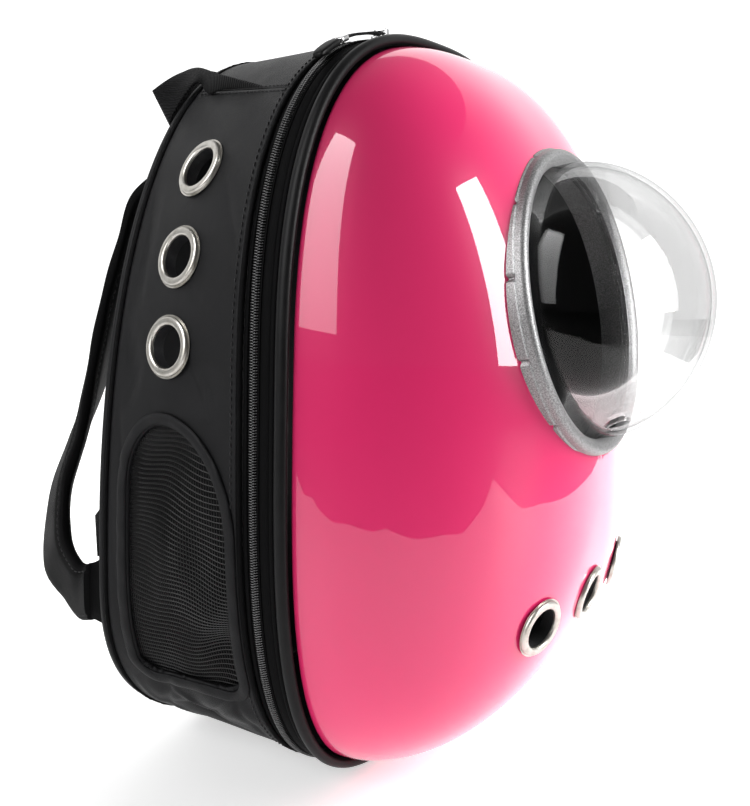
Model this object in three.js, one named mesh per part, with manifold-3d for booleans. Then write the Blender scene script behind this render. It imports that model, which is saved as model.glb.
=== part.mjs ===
import * as THREE from 'three';
import { mergeVertices } from 'three/addons/utils/BufferGeometryUtils.js';
import Module from 'manifold-3d';

// A pet carrier backpack: a soft bag whose front is a hard, glossy shell with a clear bubble window.
// Sizes are in millimetres. The origin is the middle of the flat base and +Z is up.
// The bubble faces -Y, the shoulder straps lie on the +Y side.

// Outline of the bag, seen from the front
const bagHeight = 422;
const bottomHalfWidth = 167.5;
const topHalfWidth = 145.5;
const backFlare = 2;
const frontSplitHeight = 244;
const frontTopRound = 2.7;
const frontBottomRound = 3.5;
const backSplitHeight = 120;
const backTopRound = 2.35;
const backBottomRound = 2.45;
const floorSink = 5;

// Depths, from the back of the bag to its front
const backPadThickness = 13;
const backEdgeThickness = 5;
const pipingRadius = 1.4;
const gussetDepth = 91;
const tapeWidth = 2.6;
const coilWidth = 7;
const bandWidth = 9;
const trimWidth = 7.3;
const shellDepth = 107;

// Walls, and how far each lies inside the outline
const seamGap = 0.3;
const gussetWall = 2.2;
const gussetInset = 2.5;
const bandWall = 2.4;
const bandInset = 3;
const coilHeight = 2.6;
const coilInset = 2;
const trimHeight = 6;
const trimInset = 1;
const shellWall = 2.5;
const shellInset = 8;
const shellApexHeight = 165;
const shellBulge = 2.337;
const shellShoulder = 1.793;

// Seams of the gusset, as shares of the way round from the middle of the bottom
const bottomSeam = 0.095;
const shoulderSeamFront = 0.407;
const shoulderSeamBack = 0.434;

// Eyelets
const eyeletRadius = 16.8;
const eyeletHole = 11.2;
const eyeletBarrel = 12.4;
const eyeletRim = 3;
const eyeletWasher = 1.2;
const eyeletCrown = 2.6;
const sideEyeletDrop = 81;
const sideEyeletPitch = 46;
const sideEyeletCount = 3;
const sideEyeletY = 3;
const frontEyeletHeight = 102;
const frontEyeletSpread = 61;
const eyeletDrill = 40;

// Side windows of mesh, each an arch with a bound edge
const windowBottom = 64;
const windowDrop = 214;
const windowArchBack = 34;
const windowArchFront = 58;
const windowApexY = 8;
const windowWidth = 68;
const windowMiddleY = -3.6;
const bindingWidth = 7;
const bindingWall = 1.6;
const meshWall = 1;
const meshLap = 5;
const meshBulge = 4;

// Window ring and bubble, measured along the ring's own axis
const ringHeight = 268;
const ringFront = 160.1;
const ringTilt = 11.7;
const ringRadius = 86;
const ringCrest = 10.5;
const ringLip = 9;
const ringSleeve = 2;
const ringSleeveDepth = 12;
const ringSkirt = 8;
const ringDrill = 200;
const bubbleRadius = 75.5;
const bubbleDepth = 64;
const bubbleRound = 1.9;
const bubbleWall = 2.5;
const bubbleFlange = 3.4;
const bubbleFlangeWall = 2.5;
const bubbleSeat = 12;
const bubbleVentRadius = 6.5;
const bubbleVentSpread = 24;
const bubbleVentShare = 0.22;

// Zipper slider, how far it stands from the middle of the top, and its pull
const sliderOut = 28;
const sliderLength = 11;
const sliderWidth = 9;
const sliderBase = 2;
const bridgeLength = 4;
const bridgeHeight = 3.4;
const bridgeWall = 1.2;
const pullWidth = 5.4;
const pullThickness = 1.4;
const pullLength = 40;
const crimpLength = 6;
const crimpThickness = 3;
const gripLength = 20;
const gripWidth = 8;
const gripThickness = 3.6;

// Carry handle and shoulder straps
const webbingThickness = 1.8;
const handleWidth = 40;
const strapWidth = 58;
const strapThickness = 10;
const strapReach = 73;
const tabThickness = 3;
const tabWidth = 46;
const tabHeight = 104;
const tabInset = 20.5;
const tailWidth = 26;
const tailHeight = 144;
const tailLength = 20;
const tailInset = 24.5;

// Places that follow from the sizes
const gussetFront = -gussetDepth / 2;
const gussetBack = gussetDepth / 2;
const frontPipingY = gussetFront - seamGap - pipingRadius;
const tapeBack = frontPipingY - pipingRadius - seamGap;
const tapeFront = tapeBack - tapeWidth;
const coilBack = tapeFront - seamGap;
const coilFront = coilBack - coilWidth;
const bandBack = coilFront - seamGap;
const bandFront = bandBack - bandWidth;
const trimBack = bandFront - seamGap;
const trimFront = trimBack - trimWidth;
const shellEdgeY = trimFront - seamGap;
const coilMiddle = (coilFront + coilBack) / 2;
const backPipingY = gussetBack + seamGap + pipingRadius;
const backPanelFront = backPipingY + pipingRadius + seamGap;
const sideEyeletTop = bagHeight - sideEyeletDrop;
const windowTop = bagHeight - windowDrop;
const tabOut = bottomHalfWidth - tabInset;
const tailOut = bottomHalfWidth - tailInset;

// Mesh fineness
const loopSteps = 32;
const outlineSteps = 720;

const wasm = await Module();
wasm.setup();

const bag = new THREE.Group();
const lerp = THREE.MathUtils.lerp;
const vector = (x, y, z) => new THREE.Vector3(x, y, z);

// Closed meshes

function signedVolume(positions, index) {
  const a = vector();
  const b = vector();
  const c = vector();
  let volume = 0;
  for (let i = 0; i < index.length; i += 3) {
    a.fromArray(positions, index[i] * 3);
    b.fromArray(positions, index[i + 1] * 3);
    c.fromArray(positions, index[i + 2] * 3);
    volume += a.dot(b.cross(c)) / 6;
  }
  return volume;
}

// Joins equal points, drops faces without area and turns the faces outwards.
function closedGeometry(source) {
  const bare = source.clone();
  bare.deleteAttribute('normal');
  bare.deleteAttribute('uv');
  const merged = mergeVertices(bare, 1e-4);
  const corners = Array.from(merged.index.array);
  const index = [];
  for (let i = 0; i < corners.length; i += 3) {
    const [a, b, c] = corners.slice(i, i + 3);
    if (a !== b && b !== c && c !== a) index.push(a, b, c);
  }
  if (signedVolume(merged.attributes.position.array, index) < 0) index.reverse();
  merged.setIndex(index);
  return merged;
}

// Joins a row of closed sections with equal counts. Each section runs out along one side and
// back along the other, and both sides split their faces along the same diagonals. An open row
// gets caps of paired strips.
function loft(sections, closed) {
  const count = sections[0].length;
  const index = [];
  const bands = closed ? sections.length : sections.length - 1;
  for (let i = 0; i < bands; i += 1) {
    const a = i * count;
    const b = ((i + 1) % sections.length) * count;
    for (let k = 0; k < count; k += 1) {
      const n = (k + 1) % count;
      if (k < count / 2) index.push(a + k, a + n, b + n, a + k, b + n, b + k);
      else index.push(a + k, a + n, b + k, a + n, b + n, b + k);
    }
  }
  if (!closed) {
    const last = (sections.length - 1) * count;
    for (let k = 0; k < count / 2 - 1; k += 1) {
      const [a, b, c, d] = [k, k + 1, count - 2 - k, count - 1 - k];
      index.push(a, c, b, a, d, c);
      index.push(last + a, last + b, last + c, last + a, last + c, last + d);
    }
  }
  const geometry = new THREE.BufferGeometry();
  const points = sections.flat().flatMap((p) => [p.x, p.y, p.z]);
  geometry.setAttribute('position', new THREE.Float32BufferAttribute(points, 3));
  geometry.setIndex(index);
  return closedGeometry(geometry);
}

function toManifold(geometry) {
  const closed = closedGeometry(geometry);
  return new wasm.Manifold(new wasm.Mesh({
    numProp: 3,
    vertProperties: new Float32Array(closed.attributes.position.array),
    triVerts: new Uint32Array(closed.index.array),
  }));
}

function toGeometry(manifold) {
  const mesh = manifold.getMesh();
  const geometry = new THREE.BufferGeometry();
  geometry.setAttribute('position', new THREE.Float32BufferAttribute(Array.from(mesh.vertProperties), 3));
  geometry.setIndex(Array.from(mesh.triVerts));
  return geometry;
}

function cutBy(geometry, tools) {
  return toGeometry(tools.reduce((left, tool) => left.subtract(tool), toManifold(geometry)));
}

function mirrored(geometry) {
  return closedGeometry(geometry.clone().applyMatrix4(new THREE.Matrix4().makeScale(-1, 1, 1)));
}

// A rod along an axis, for cutting round holes.
function rod(centre, axis, radius, length, sides) {
  const geometry = new THREE.CylinderGeometry(radius, radius, length, sides);
  geometry.applyQuaternion(new THREE.Quaternion().setFromUnitVectors(vector(0, 1, 0), axis));
  geometry.translate(centre.x, centre.y, centre.z);
  return toManifold(geometry);
}

function addMesh(name, geometry, finish) {
  const mesh = new THREE.Mesh(geometry, new THREE.MeshStandardMaterial(finish));
  mesh.name = name;
  bag.add(mesh);
  return mesh;
}

function addPair(name, geometry, finish) {
  addMesh(`${name}_left`, geometry, finish);
  addMesh(`${name}_right`, mirrored(geometry), finish);
}

const blackCloth = { color: 0x1c1c1e, roughness: 0.72, metalness: 0 };
const blackWebbing = { color: 0x141415, roughness: 0.85, metalness: 0 };
const blackVinyl = { color: 0x101011, roughness: 0.45, metalness: 0 };
const blackNet = { color: 0x2a2b2c, roughness: 0.8, metalness: 0 };
const brightSteel = { color: 0xd9d7d2, roughness: 0.18, metalness: 1 };
const satinSilver = { color: 0xb9babc, roughness: 0.42, metalness: 0.7 };
const glossyPink = { color: 0xe8327c, roughness: 0.12, metalness: 0 };
const clearPlastic = {
  color: 0xf4f7f8, roughness: 0.04, metalness: 0, transparent: true, opacity: 0.25,
};

// Outline of the bag: two half superellipses joined at the split height, on a half width that
// narrows towards the top. It starts at the middle of the bottom and goes round by -X.
const outlines = new Map();

function outlineTable(backShare) {
  if (outlines.has(backShare)) return outlines.get(backShare);
  const topRound = lerp(frontTopRound, backTopRound, backShare);
  const bottomRound = lerp(frontBottomRound, backBottomRound, backShare);
  const split = lerp(frontSplitHeight, backSplitHeight, backShare);
  const points = [];
  for (let i = 0; i <= outlineSteps; i += 1) {
    const angle = -Math.PI / 2 - (i / outlineSteps) * 2 * Math.PI;
    const c = Math.cos(angle);
    const s = Math.sin(angle);
    const power = 2 / (s > 0 ? topRound : bottomRound);
    const reach = s > 0 ? bagHeight - split : split;
    const z = split + Math.sign(s) * reach * Math.abs(s) ** power;
    const halfWidth = lerp(bottomHalfWidth, topHalfWidth, z / bagHeight) + backFlare * backShare;
    points.push(new THREE.Vector2(Math.sign(c) * halfWidth * Math.abs(c) ** power, z));
  }
  const lengths = [0];
  for (let i = 1; i <= outlineSteps; i += 1) {
    lengths.push(lengths[i - 1] + points[i].distanceTo(points[i - 1]));
  }
  const table = { points, lengths };
  outlines.set(backShare, table);
  return table;
}

function outlinePoint(share, backShare) {
  const { points, lengths } = outlineTable(backShare);
  const wanted = (share - Math.floor(share)) * lengths[outlineSteps];
  let low = 0;
  let high = outlineSteps;
  while (high - low > 1) {
    const middle = (low + high) >> 1;
    if (lengths[middle] <= wanted) low = middle;
    else high = middle;
  }
  const part = (wanted - lengths[low]) / (lengths[high] - lengths[low]);
  return points[low].clone().lerp(points[high], part);
}

// Shares of the steps of a whole loop, which gather where the outline turns
function loopShare(i) {
  const { lengths } = outlineTable(0);
  return lengths[Math.round((i * outlineSteps) / loopSteps)] / lengths[outlineSteps];
}

// How far a place lies from the zipper, 0, towards the back corner, 1
function backShareAt(y) {
  return THREE.MathUtils.clamp((y - coilMiddle) / (backPipingY - coilMiddle), 0, 1);
}

// A point of the outline moved inwards by its inset, lowered by the sink and held above a level
function outlineAt(share, y, inset, lowest) {
  const step = 0.004;
  const backShare = backShareAt(y);
  const point = outlinePoint(share, backShare);
  const along = outlinePoint(share + step, backShare).sub(outlinePoint(share - step, backShare)).normalize();
  const x = point.x + along.y * inset;
  const z = point.y - along.x * inset - floorSink;
  return { x, z: Math.max(z, lowest), along, outward: new THREE.Vector2(-along.y, along.x) };
}

// A ring that follows the outline. Its section is a list of insets and places along Y.
function outlineRing(section, clearance) {
  const outermost = Math.min(...section.map((corner) => corner.inset));
  const sections = [];
  for (let i = 0; i < loopSteps; i += 1) {
    sections.push(section.map(({ inset, y }) => {
      const at = outlineAt(loopShare(i), y, inset, clearance + inset - outermost);
      return vector(at.x, y, at.z);
    }));
  }
  return loft(sections, true);
}

function ovalSection(inset, y, halfHeight, halfWidth, sides) {
  const corners = [];
  for (let k = 0; k < sides; k += 1) {
    const angle = ((k + 0.5) / sides) * 2 * Math.PI;
    corners.push({ inset: inset + halfHeight * Math.cos(angle), y: y + halfWidth * Math.sin(angle) });
  }
  return corners;
}

function flatSection(inset, wall, front, back) {
  return [
    { inset, y: front }, { inset, y: back },
    { inset: inset + wall, y: back }, { inset: inset + wall, y: front },
  ];
}

// Hard shell. Its loops shrink from the edge towards the apex, while it bulges forwards by a
// superellipse: polar is 0 at the apex and 1 at the edge.
function shellSurface(share, polar) {
  const angle = (polar * Math.PI) / 2;
  const reach = Math.sin(angle) ** (2 / shellBulge);
  const rise = Math.max(Math.cos(angle), 0) ** (2 / shellShoulder);
  const edge = outlineAt(share, shellEdgeY, shellInset, 0);
  return vector(
    edge.x * reach,
    shellEdgeY - shellDepth * rise,
    lerp(shellApexHeight, edge.z, reach),
  );
}

function shellNormal(share, polar) {
  const step = 0.004;
  const inner = Math.max(polar - step, 0);
  const outer = Math.min(polar + step, 1);
  const across = shellSurface(share, outer).sub(shellSurface(share, inner));
  const around = shellSurface(share + step, Math.max(polar, step));
  around.sub(shellSurface(share - step, Math.max(polar, step)));
  return polar < step ? vector(0, -1, 0) : around.cross(across).normalize();
}

function shellPoint(share, polar, out) {
  return shellSurface(share, polar).addScaledVector(shellNormal(share, polar), out);
}

// Finds where a place seen from the front lies on the shell.
function shellAt(x, z) {
  const side = x <= 0 ? 1 : -1;
  const target = Math.atan2(Math.abs(x), z - shellApexHeight);
  let low = 0;
  let high = 0.5;
  for (let i = 0; i < 40; i += 1) {
    const middle = (low + high) / 2;
    const edge = outlineAt(middle, shellEdgeY, shellInset, 0);
    if (Math.atan2(Math.abs(edge.x), edge.z - shellApexHeight) > target) low = middle;
    else high = middle;
  }
  const edge = outlineAt(low, shellEdgeY, shellInset, 0);
  const whole = Math.hypot(edge.x, edge.z - shellApexHeight);
  const reach = Math.hypot(x, z - shellApexHeight) / whole;
  const polar = Math.asin(reach ** (shellBulge / 2)) / (Math.PI / 2);
  return { share: side * low, polar };
}

const shellRows = 6;

// The body between the shell's face and a wall or plane behind it.
function shellBody(out, behind) {
  const sections = [];
  for (let i = 0; i < loopSteps; i += 1) {
    const face = [];
    const rear = [];
    for (let k = 0; k <= shellRows; k += 1) {
      face.push(shellPoint(loopShare(i), k / shellRows, out));
      rear.unshift(behind(loopShare(i), k / shellRows));
    }
    sections.push([...face, ...rear]);
  }
  return loft(sections, true);
}

// Window ring: a turned ring around the bubble, scribed to the shell that it stands on.
const ringSlope = THREE.MathUtils.degToRad(ringTilt);
const ringAxis = vector(0, -Math.cos(ringSlope), Math.sin(ringSlope));
const ringCentre = vector(0, -ringFront, ringHeight);
const ringTurn = new THREE.Quaternion().setFromUnitVectors(vector(0, 1, 0), ringAxis);
const ringBore = bubbleRadius + seamGap;
const flangeRadius = bubbleRadius + bubbleFlange;
const sleeveBore = flangeRadius + seamGap;
const sleeveRadius = sleeveBore + ringSleeve;
const shellHole = sleeveRadius + seamGap;
const flangeFront = bubbleSeat - bubbleFlangeWall - 5;

function turned(profile, steps) {
  const points = profile.map(([radius, height]) => new THREE.Vector2(radius, height));
  const geometry = new THREE.LatheGeometry(points, steps);
  geometry.applyQuaternion(ringTurn);
  geometry.translate(ringCentre.x, ringCentre.y, ringCentre.z);
  return geometry;
}

const ringProfile = [
  [sleeveBore, -ringSleeveDepth],
  [sleeveRadius, -ringSleeveDepth],
  [sleeveRadius, -ringSkirt],
  [ringRadius, -ringSkirt],
  [ringRadius, ringCrest - 3.2],
  [ringRadius - 1.6, ringCrest],
  [ringRadius - 4.6, ringCrest],
  [ringBore, ringLip],
  [ringBore, flangeFront + seamGap],
  [sleeveBore, flangeFront + seamGap],
  [sleeveBore, -ringSleeveDepth],
];
const ringSteps = 28;
const shellCore = shellBody(seamGap, (share, polar) => {
  const point = shellSurface(share, polar);
  return vector(point.x, shellEdgeY + 1, point.z);
});
const scribeRod = rod(ringCentre, ringAxis, sleeveRadius + 0.1, ringDrill, ringSteps);
const scribe = toManifold(shellCore).subtract(scribeRod);
const windowRing = toGeometry(toManifold(turned(ringProfile, ringSteps)).subtract(scribe));
addMesh('window_ring', windowRing, satinSilver);

// Clear bubble: a deep rounded cap on a straight skirt, with a flange held behind the ring's lip.
function bubbleProfile() {
  const steps = 4;
  const outside = [];
  const inside = [];
  for (let k = 0; k <= steps; k += 1) {
    const angle = (k / steps) * (Math.PI / 2);
    const radius = Math.cos(angle) ** (2 / bubbleRound);
    const height = Math.sin(angle) ** (2 / bubbleRound);
    outside.push([k === steps ? 0 : bubbleRadius * radius, bubbleSeat + bubbleDepth * height]);
    inside.unshift([
      k === steps ? 0 : (bubbleRadius - bubbleWall) * radius,
      bubbleSeat + (bubbleDepth - bubbleWall) * height,
    ]);
  }
  return [
    ...inside,
    [bubbleRadius - bubbleWall, flangeFront - bubbleFlangeWall],
    [flangeRadius, flangeFront - bubbleFlangeWall],
    [flangeRadius, flangeFront],
    [bubbleRadius, flangeFront],
    ...outside,
  ];
}

function bubbleVent(side) {
  const turn = THREE.MathUtils.degToRad(bubbleVentSpread) * side;
  const angle = Math.asin(bubbleVentShare ** (bubbleRound / 2));
  const radius = bubbleRadius * Math.cos(angle) ** (2 / bubbleRound);
  const local = vector(
    radius * Math.sin(turn),
    bubbleSeat + bubbleDepth * bubbleVentShare,
    radius * Math.cos(turn),
  );
  const outward = vector(local.x, (local.y - bubbleSeat) * (bubbleRadius / bubbleDepth) ** 2, local.z);
  const centre = local.applyQuaternion(ringTurn).add(ringCentre);
  return rod(centre, outward.applyQuaternion(ringTurn).normalize(), bubbleVentRadius, 16, 12);
}

const bubble = cutBy(turned(bubbleProfile(), ringSteps), [bubbleVent(-1), bubbleVent(1)]);
addMesh('bubble', bubble, clearPlastic);

// Eyelets: a rounded rim outside, a barrel through the wall and a flat washer inside.
// Heights run outwards from the wall's outer face. The wall curves away from the outer rim and
// towards the washer, which the crown leaves room for.
const eyeletSides = 12;

function eyeletProfile(wall) {
  const inside = -wall - eyeletCrown;
  return [
    [eyeletHole, inside - eyeletWasher],
    [eyeletRadius - 2, inside - eyeletWasher],
    [eyeletRadius - 2, inside],
    [eyeletBarrel, inside],
    [eyeletBarrel, seamGap],
    [eyeletRadius, seamGap],
    [eyeletRadius - 1.8, eyeletRim],
    [eyeletHole, eyeletRim * 0.4],
    [eyeletHole, inside - eyeletWasher],
  ];
}

function addEyelet(name, place, wall) {
  const points = eyeletProfile(wall).map(([radius, height]) => new THREE.Vector2(radius, height));
  const eyelet = addMesh(name, new THREE.LatheGeometry(points, eyeletSides), brightSteel);
  eyelet.quaternion.setFromUnitVectors(vector(0, 1, 0), place.outward);
  eyelet.position.copy(place.point);
}

function eyeletHoleRod(place) {
  return rod(place.point, place.outward, eyeletBarrel + seamGap, eyeletDrill, eyeletSides);
}

// The shell itself, with the bubble's hole and three eyelets low on its front
const frontEyelets = [-1, 0, 1].map((side) => {
  const { share, polar } = shellAt(side * frontEyeletSpread, frontEyeletHeight);
  return { point: shellSurface(share, polar), outward: shellNormal(share, polar) };
});
const shellWallBody = shellBody(0, (share, polar) => shellPoint(share, polar, -shellWall));
const windowHole = rod(ringCentre, ringAxis, shellHole, ringDrill, ringSteps);
addMesh('shell', cutBy(shellWallBody, [windowHole, ...frontEyelets.map(eyeletHoleRod)]), glossyPink);
frontEyelets.forEach((place, i) => addEyelet(`front_eyelet_${i + 1}`, place, shellWall));

// Bands between shell and gusset: rubber-like trim, cloth band, zipper coil, tape and piping
const trimSection = ovalSection(
  trimInset + trimHeight / 2, (trimFront + trimBack) / 2, trimHeight / 2, trimWidth / 2, 6,
);
addMesh('shell_trim', outlineRing(trimSection, seamGap), blackVinyl);
addMesh('front_band', outlineRing(flatSection(bandInset, bandWall, bandFront, bandBack), 0), blackCloth);
const coilSection = [
  { inset: coilInset + coilHeight, y: coilFront }, { inset: coilInset, y: coilFront + coilHeight / 2 },
  { inset: coilInset, y: coilBack - coilHeight / 2 }, { inset: coilInset + coilHeight, y: coilBack },
];
addMesh('zipper_coil', outlineRing(coilSection, seamGap), blackVinyl);
addMesh('zipper_tape', outlineRing(flatSection(bandInset, bandWall, tapeFront, tapeBack), 0), blackCloth);
const frontPiping = ovalSection(bandInset, frontPipingY, pipingRadius, pipingRadius, 4);
addMesh('front_piping', outlineRing(frontPiping, seamGap), blackCloth);
const backPiping = ovalSection(bandInset, backPipingY, pipingRadius, pipingRadius, 4);
addMesh('back_piping', outlineRing(backPiping, seamGap), blackCloth);

// Gusset: the soft wall between piping and back. Dents and folds move its surface inwards or,
// where the depth is negative, outwards. Lengths are shares of the gusset's depth, except up,
// a share of the bag's height, and depth, a share of the fold depth.
const foldDepth = 3;
const folds = [
  { up: 0.545, along: 0.30, tall: 0.20, wide: 0.28, depth: 0.8 },
  { up: 0.560, along: 0.88, tall: 0.30, wide: 0.16, depth: 0.6 },
  { up: 0.700, along: 0.92, tall: 0.55, wide: 0.14, depth: 0.5 },
  { up: 0.115, along: 0.25, tall: 0.16, wide: 0.30, depth: -1.0 },
  { up: 0.085, along: 0.55, tall: 0.12, wide: 0.22, depth: 0.9 },
  { up: 0.110, along: 0.80, tall: 0.16, wide: 0.22, depth: -0.9 },
];

function foldInset(z, along) {
  return folds.reduce((sum, fold) => {
    const tall = (z - fold.up * bagHeight) / (fold.tall * gussetDepth);
    const wide = (along - fold.along) / fold.wide;
    const near = Math.max(1 - tall * tall - wide * wide, 0);
    return sum + fold.depth * foldDepth * near * near;
  }, 0);
}

function gussetPoint(share, along, inset) {
  const y = lerp(gussetFront, gussetBack, along);
  const lowest = Math.max(inset - gussetInset, 0);
  const plain = outlineAt(share, y, inset, lowest);
  const side = Math.abs(plain.x) > topHalfWidth / 2 ? 1 : 0;
  const at = outlineAt(share, y, inset + side * foldInset(plain.z, along), lowest);
  return vector(at.x, y, at.z);
}

function gussetSlab(from, to, rows, columns, inset, wall, bulge) {
  const sections = [];
  for (let i = 0; i <= rows; i += 1) {
    const outside = [];
    const inside = [];
    for (let k = 0; k <= columns; k += 1) {
      const along = k / columns;
      const share = lerp(from(along), to(along), i / rows);
      const out = bulge ? bulge(share, along) : 0;
      outside.push(gussetPoint(share, along, inset - out));
      inside.unshift(gussetPoint(share, along, inset + wall - out));
    }
    sections.push([...outside, ...inside]);
  }
  return loft(sections, false);
}

// Half of the gap along a seam, as a share of the outline's length
const halfSeam = seamGap / 2 / outlineTable(0).lengths[outlineSteps];
const lowerEdge = () => bottomSeam + halfSeam;
const upperEdge = (along) => lerp(shoulderSeamFront, shoulderSeamBack, along) - halfSeam;

// The arch of a side window as a prism through the wall on the -X side, grown by a margin
function windowPrism(margin) {
  const half = windowWidth / 2 + margin;
  const corner = 10 + margin;
  const floor = windowBottom - margin;
  const arch = new THREE.Shape();
  arch.moveTo(corner - half, floor);
  arch.lineTo(half - corner, floor);
  arch.quadraticCurveTo(half, floor, half, floor + corner);
  arch.lineTo(half, windowTop - windowArchBack);
  const backHalf = half - windowApexY;
  arch.absellipse(windowApexY, windowTop - windowArchBack, backHalf, windowArchBack + margin, 0, Math.PI / 2);
  const frontHalf = half + windowApexY;
  const frontSpring = windowTop - windowArchFront;
  arch.absellipse(windowApexY, frontSpring, frontHalf, windowArchFront + margin, Math.PI / 2, Math.PI);
  arch.lineTo(-half, floor + corner);
  arch.quadraticCurveTo(-half, floor, corner - half, floor);
  const depth = bottomHalfWidth * 0.7;
  const geometry = new THREE.ExtrudeGeometry(arch, { depth, bevelEnabled: false, curveSegments: 4 });
  geometry.applyMatrix4(new THREE.Matrix4().makeBasis(vector(0, 1, 0), vector(0, 0, 1), vector(1, 0, 0)));
  geometry.translate(-bottomHalfWidth * 1.1, windowMiddleY, 0);
  return toManifold(geometry);
}

// How far the mesh swells out of its window: most in the middle, and none nearer to the bound
// edge than one facet of the panel
const sideRows = 11;
const sideColumns = 6;
const rowPitch = outlineTable(0).lengths[outlineSteps] * (shoulderSeamFront - bottomSeam) / sideRows;

function windowSwell(share, along) {
  const y = lerp(gussetFront, gussetBack, along);
  const z = outlineAt(share, y, gussetInset, 0).z;
  const across = (y - windowMiddleY) / (windowWidth / 2 - gussetDepth / sideColumns / 2);
  const up = (z - (windowBottom + windowTop) / 2) / ((windowTop - windowBottom) / 2 - rowPitch);
  return meshBulge * Math.max(1 - across ** 2, 0) * Math.max(1 - up ** 2, 0);
}

function gussetPlace(height, y) {
  const along = (y - gussetFront) / gussetDepth;
  let low = bottomSeam;
  let high = shoulderSeamBack;
  for (let i = 0; i < 40; i += 1) {
    const middle = (low + high) / 2;
    if (gussetPoint(middle, along, gussetInset).z < height) low = middle;
    else high = middle;
  }
  const step = 0.004;
  const up = gussetPoint(low + step, along, gussetInset).sub(gussetPoint(low - step, along, gussetInset));
  const back = gussetPoint(low, along + 0.05, gussetInset).sub(gussetPoint(low, along - 0.05, gussetInset));
  const outward = up.cross(back).normalize();
  if (outward.x > 0) outward.negate();
  return { point: gussetPoint(low, along, gussetInset), outward };
}

// Side panels of the gusset, each with three eyelets and an arched window of mesh
const sideEyelets = [];
for (let i = 0; i < sideEyeletCount; i += 1) {
  sideEyelets.push(gussetPlace(sideEyeletTop - i * sideEyeletPitch, sideEyeletY));
}
const sideWall = gussetSlab(lowerEdge, upperEdge, sideRows, sideColumns, gussetInset, gussetWall);
const sidePanel = cutBy(sideWall, [windowPrism(0), ...sideEyelets.map(eyeletHoleRod)]);
addPair('side_panel', sidePanel, blackCloth);
['left', 'right'].forEach((side) => {
  sideEyelets.forEach(({ point, outward }, i) => {
    const flip = side === 'left' ? 1 : -1;
    const place = {
      point: vector(point.x * flip, point.y, point.z),
      outward: vector(outward.x * flip, outward.y, outward.z),
    };
    addEyelet(`side_eyelet_${side}_${i + 1}`, place, gussetWall);
  });
});

const meshInset = gussetInset + gussetWall + seamGap;
const meshSheet = toManifold(
  gussetSlab(lowerEdge, upperEdge, sideRows, sideColumns, meshInset, meshWall, windowSwell),
);
addPair('mesh_window', toGeometry(meshSheet.intersect(windowPrism(meshLap))), blackNet);
const bindingInset = gussetInset - seamGap - bindingWall;
const bindingSheet = toManifold(
  gussetSlab(lowerEdge, upperEdge, sideRows, sideColumns, bindingInset, bindingWall),
);
const binding = bindingSheet.intersect(windowPrism(bindingWidth)).subtract(windowPrism(0.5));
addPair('window_binding', toGeometry(binding), blackCloth);

// Top and bottom of the gusset
const topFrom = (along) => lerp(shoulderSeamFront, shoulderSeamBack, along) + halfSeam;
const topTo = (along) => 1 - topFrom(along);
addMesh('top_panel', gussetSlab(topFrom, topTo, 8, 4, gussetInset, gussetWall), blackCloth);
const bottomFrom = () => halfSeam - bottomSeam;
const bottomTo = () => bottomSeam - halfSeam;
addMesh('bottom_panel', gussetSlab(bottomFrom, bottomTo, 10, 3, gussetInset, gussetWall), blackCloth);

// Padded back panel, flat inside and crowned towards the wearer
const backRows = 3;
const backMiddleHeight = bagHeight / 2;

function backPoint(share, reach, y) {
  const edge = outlineAt(share, backPanelFront, gussetInset, 0);
  return vector(edge.x * reach, y, lerp(backMiddleHeight, edge.z, reach));
}

function backFaceY(reach) {
  return backPanelFront + lerp(backPadThickness, backEdgeThickness, reach ** 4);
}

// How far each row of the panel's face lies out from its middle
function backRowReach(k) {
  return (k / backRows) ** 0.7;
}

const backSections = [];
for (let i = 0; i < loopSteps; i += 1) {
  const face = [];
  const inside = [];
  for (let k = 0; k <= backRows; k += 1) {
    const reach = backRowReach(k);
    face.push(backPoint(loopShare(i), reach, backFaceY(reach)));
    inside.unshift(backPoint(loopShare(i), reach, backPanelFront));
  }
  backSections.push([...face, ...inside]);
}
addMesh('back_panel', loft(backSections, true), blackCloth);

// Where the back panel's face lies behind a place on it
function backFaceAt(x, z) {
  const target = Math.atan2(Math.abs(x), z - backMiddleHeight);
  let low = 0;
  let high = 0.5;
  for (let i = 0; i < 40; i += 1) {
    const middle = (low + high) / 2;
    const edge = backPoint(middle, 1, 0);
    if (Math.atan2(Math.abs(edge.x), edge.z - backMiddleHeight) > target) low = middle;
    else high = middle;
  }
  const edge = backPoint(low, 1, 0);
  const whole = Math.hypot(edge.x, edge.z - backMiddleHeight);
  const reach = Math.min(Math.hypot(x, z - backMiddleHeight) / whole, 1);
  let row = 0;
  while (row < backRows - 1 && backRowReach(row + 1) < reach) row += 1;
  const [inner, outer] = [backRowReach(row), backRowReach(row + 1)];
  return lerp(backFaceY(inner), backFaceY(outer), (reach - inner) / (outer - inner));
}

// A block that lies along the zipper on the outline, from low to high above the coil
function trackBlock(start, length, width, low, high) {
  const steps = Math.ceil(length / 10);
  const whole = outlineTable(0).lengths[outlineSteps];
  const sections = [];
  for (let i = 0; i <= steps; i += 1) {
    const share = 0.5 - (start + (length * i) / steps) / whole;
    const [front, back] = [coilMiddle - width / 2, coilMiddle + width / 2];
    sections.push([[front, low], [back, low], [back, high], [front, high]].map(([y, height]) => {
      const at = outlineAt(share, coilMiddle, coilInset - height, 0);
      return vector(at.x, y, at.z);
    }));
  }
  return loft(sections, false);
}

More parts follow.
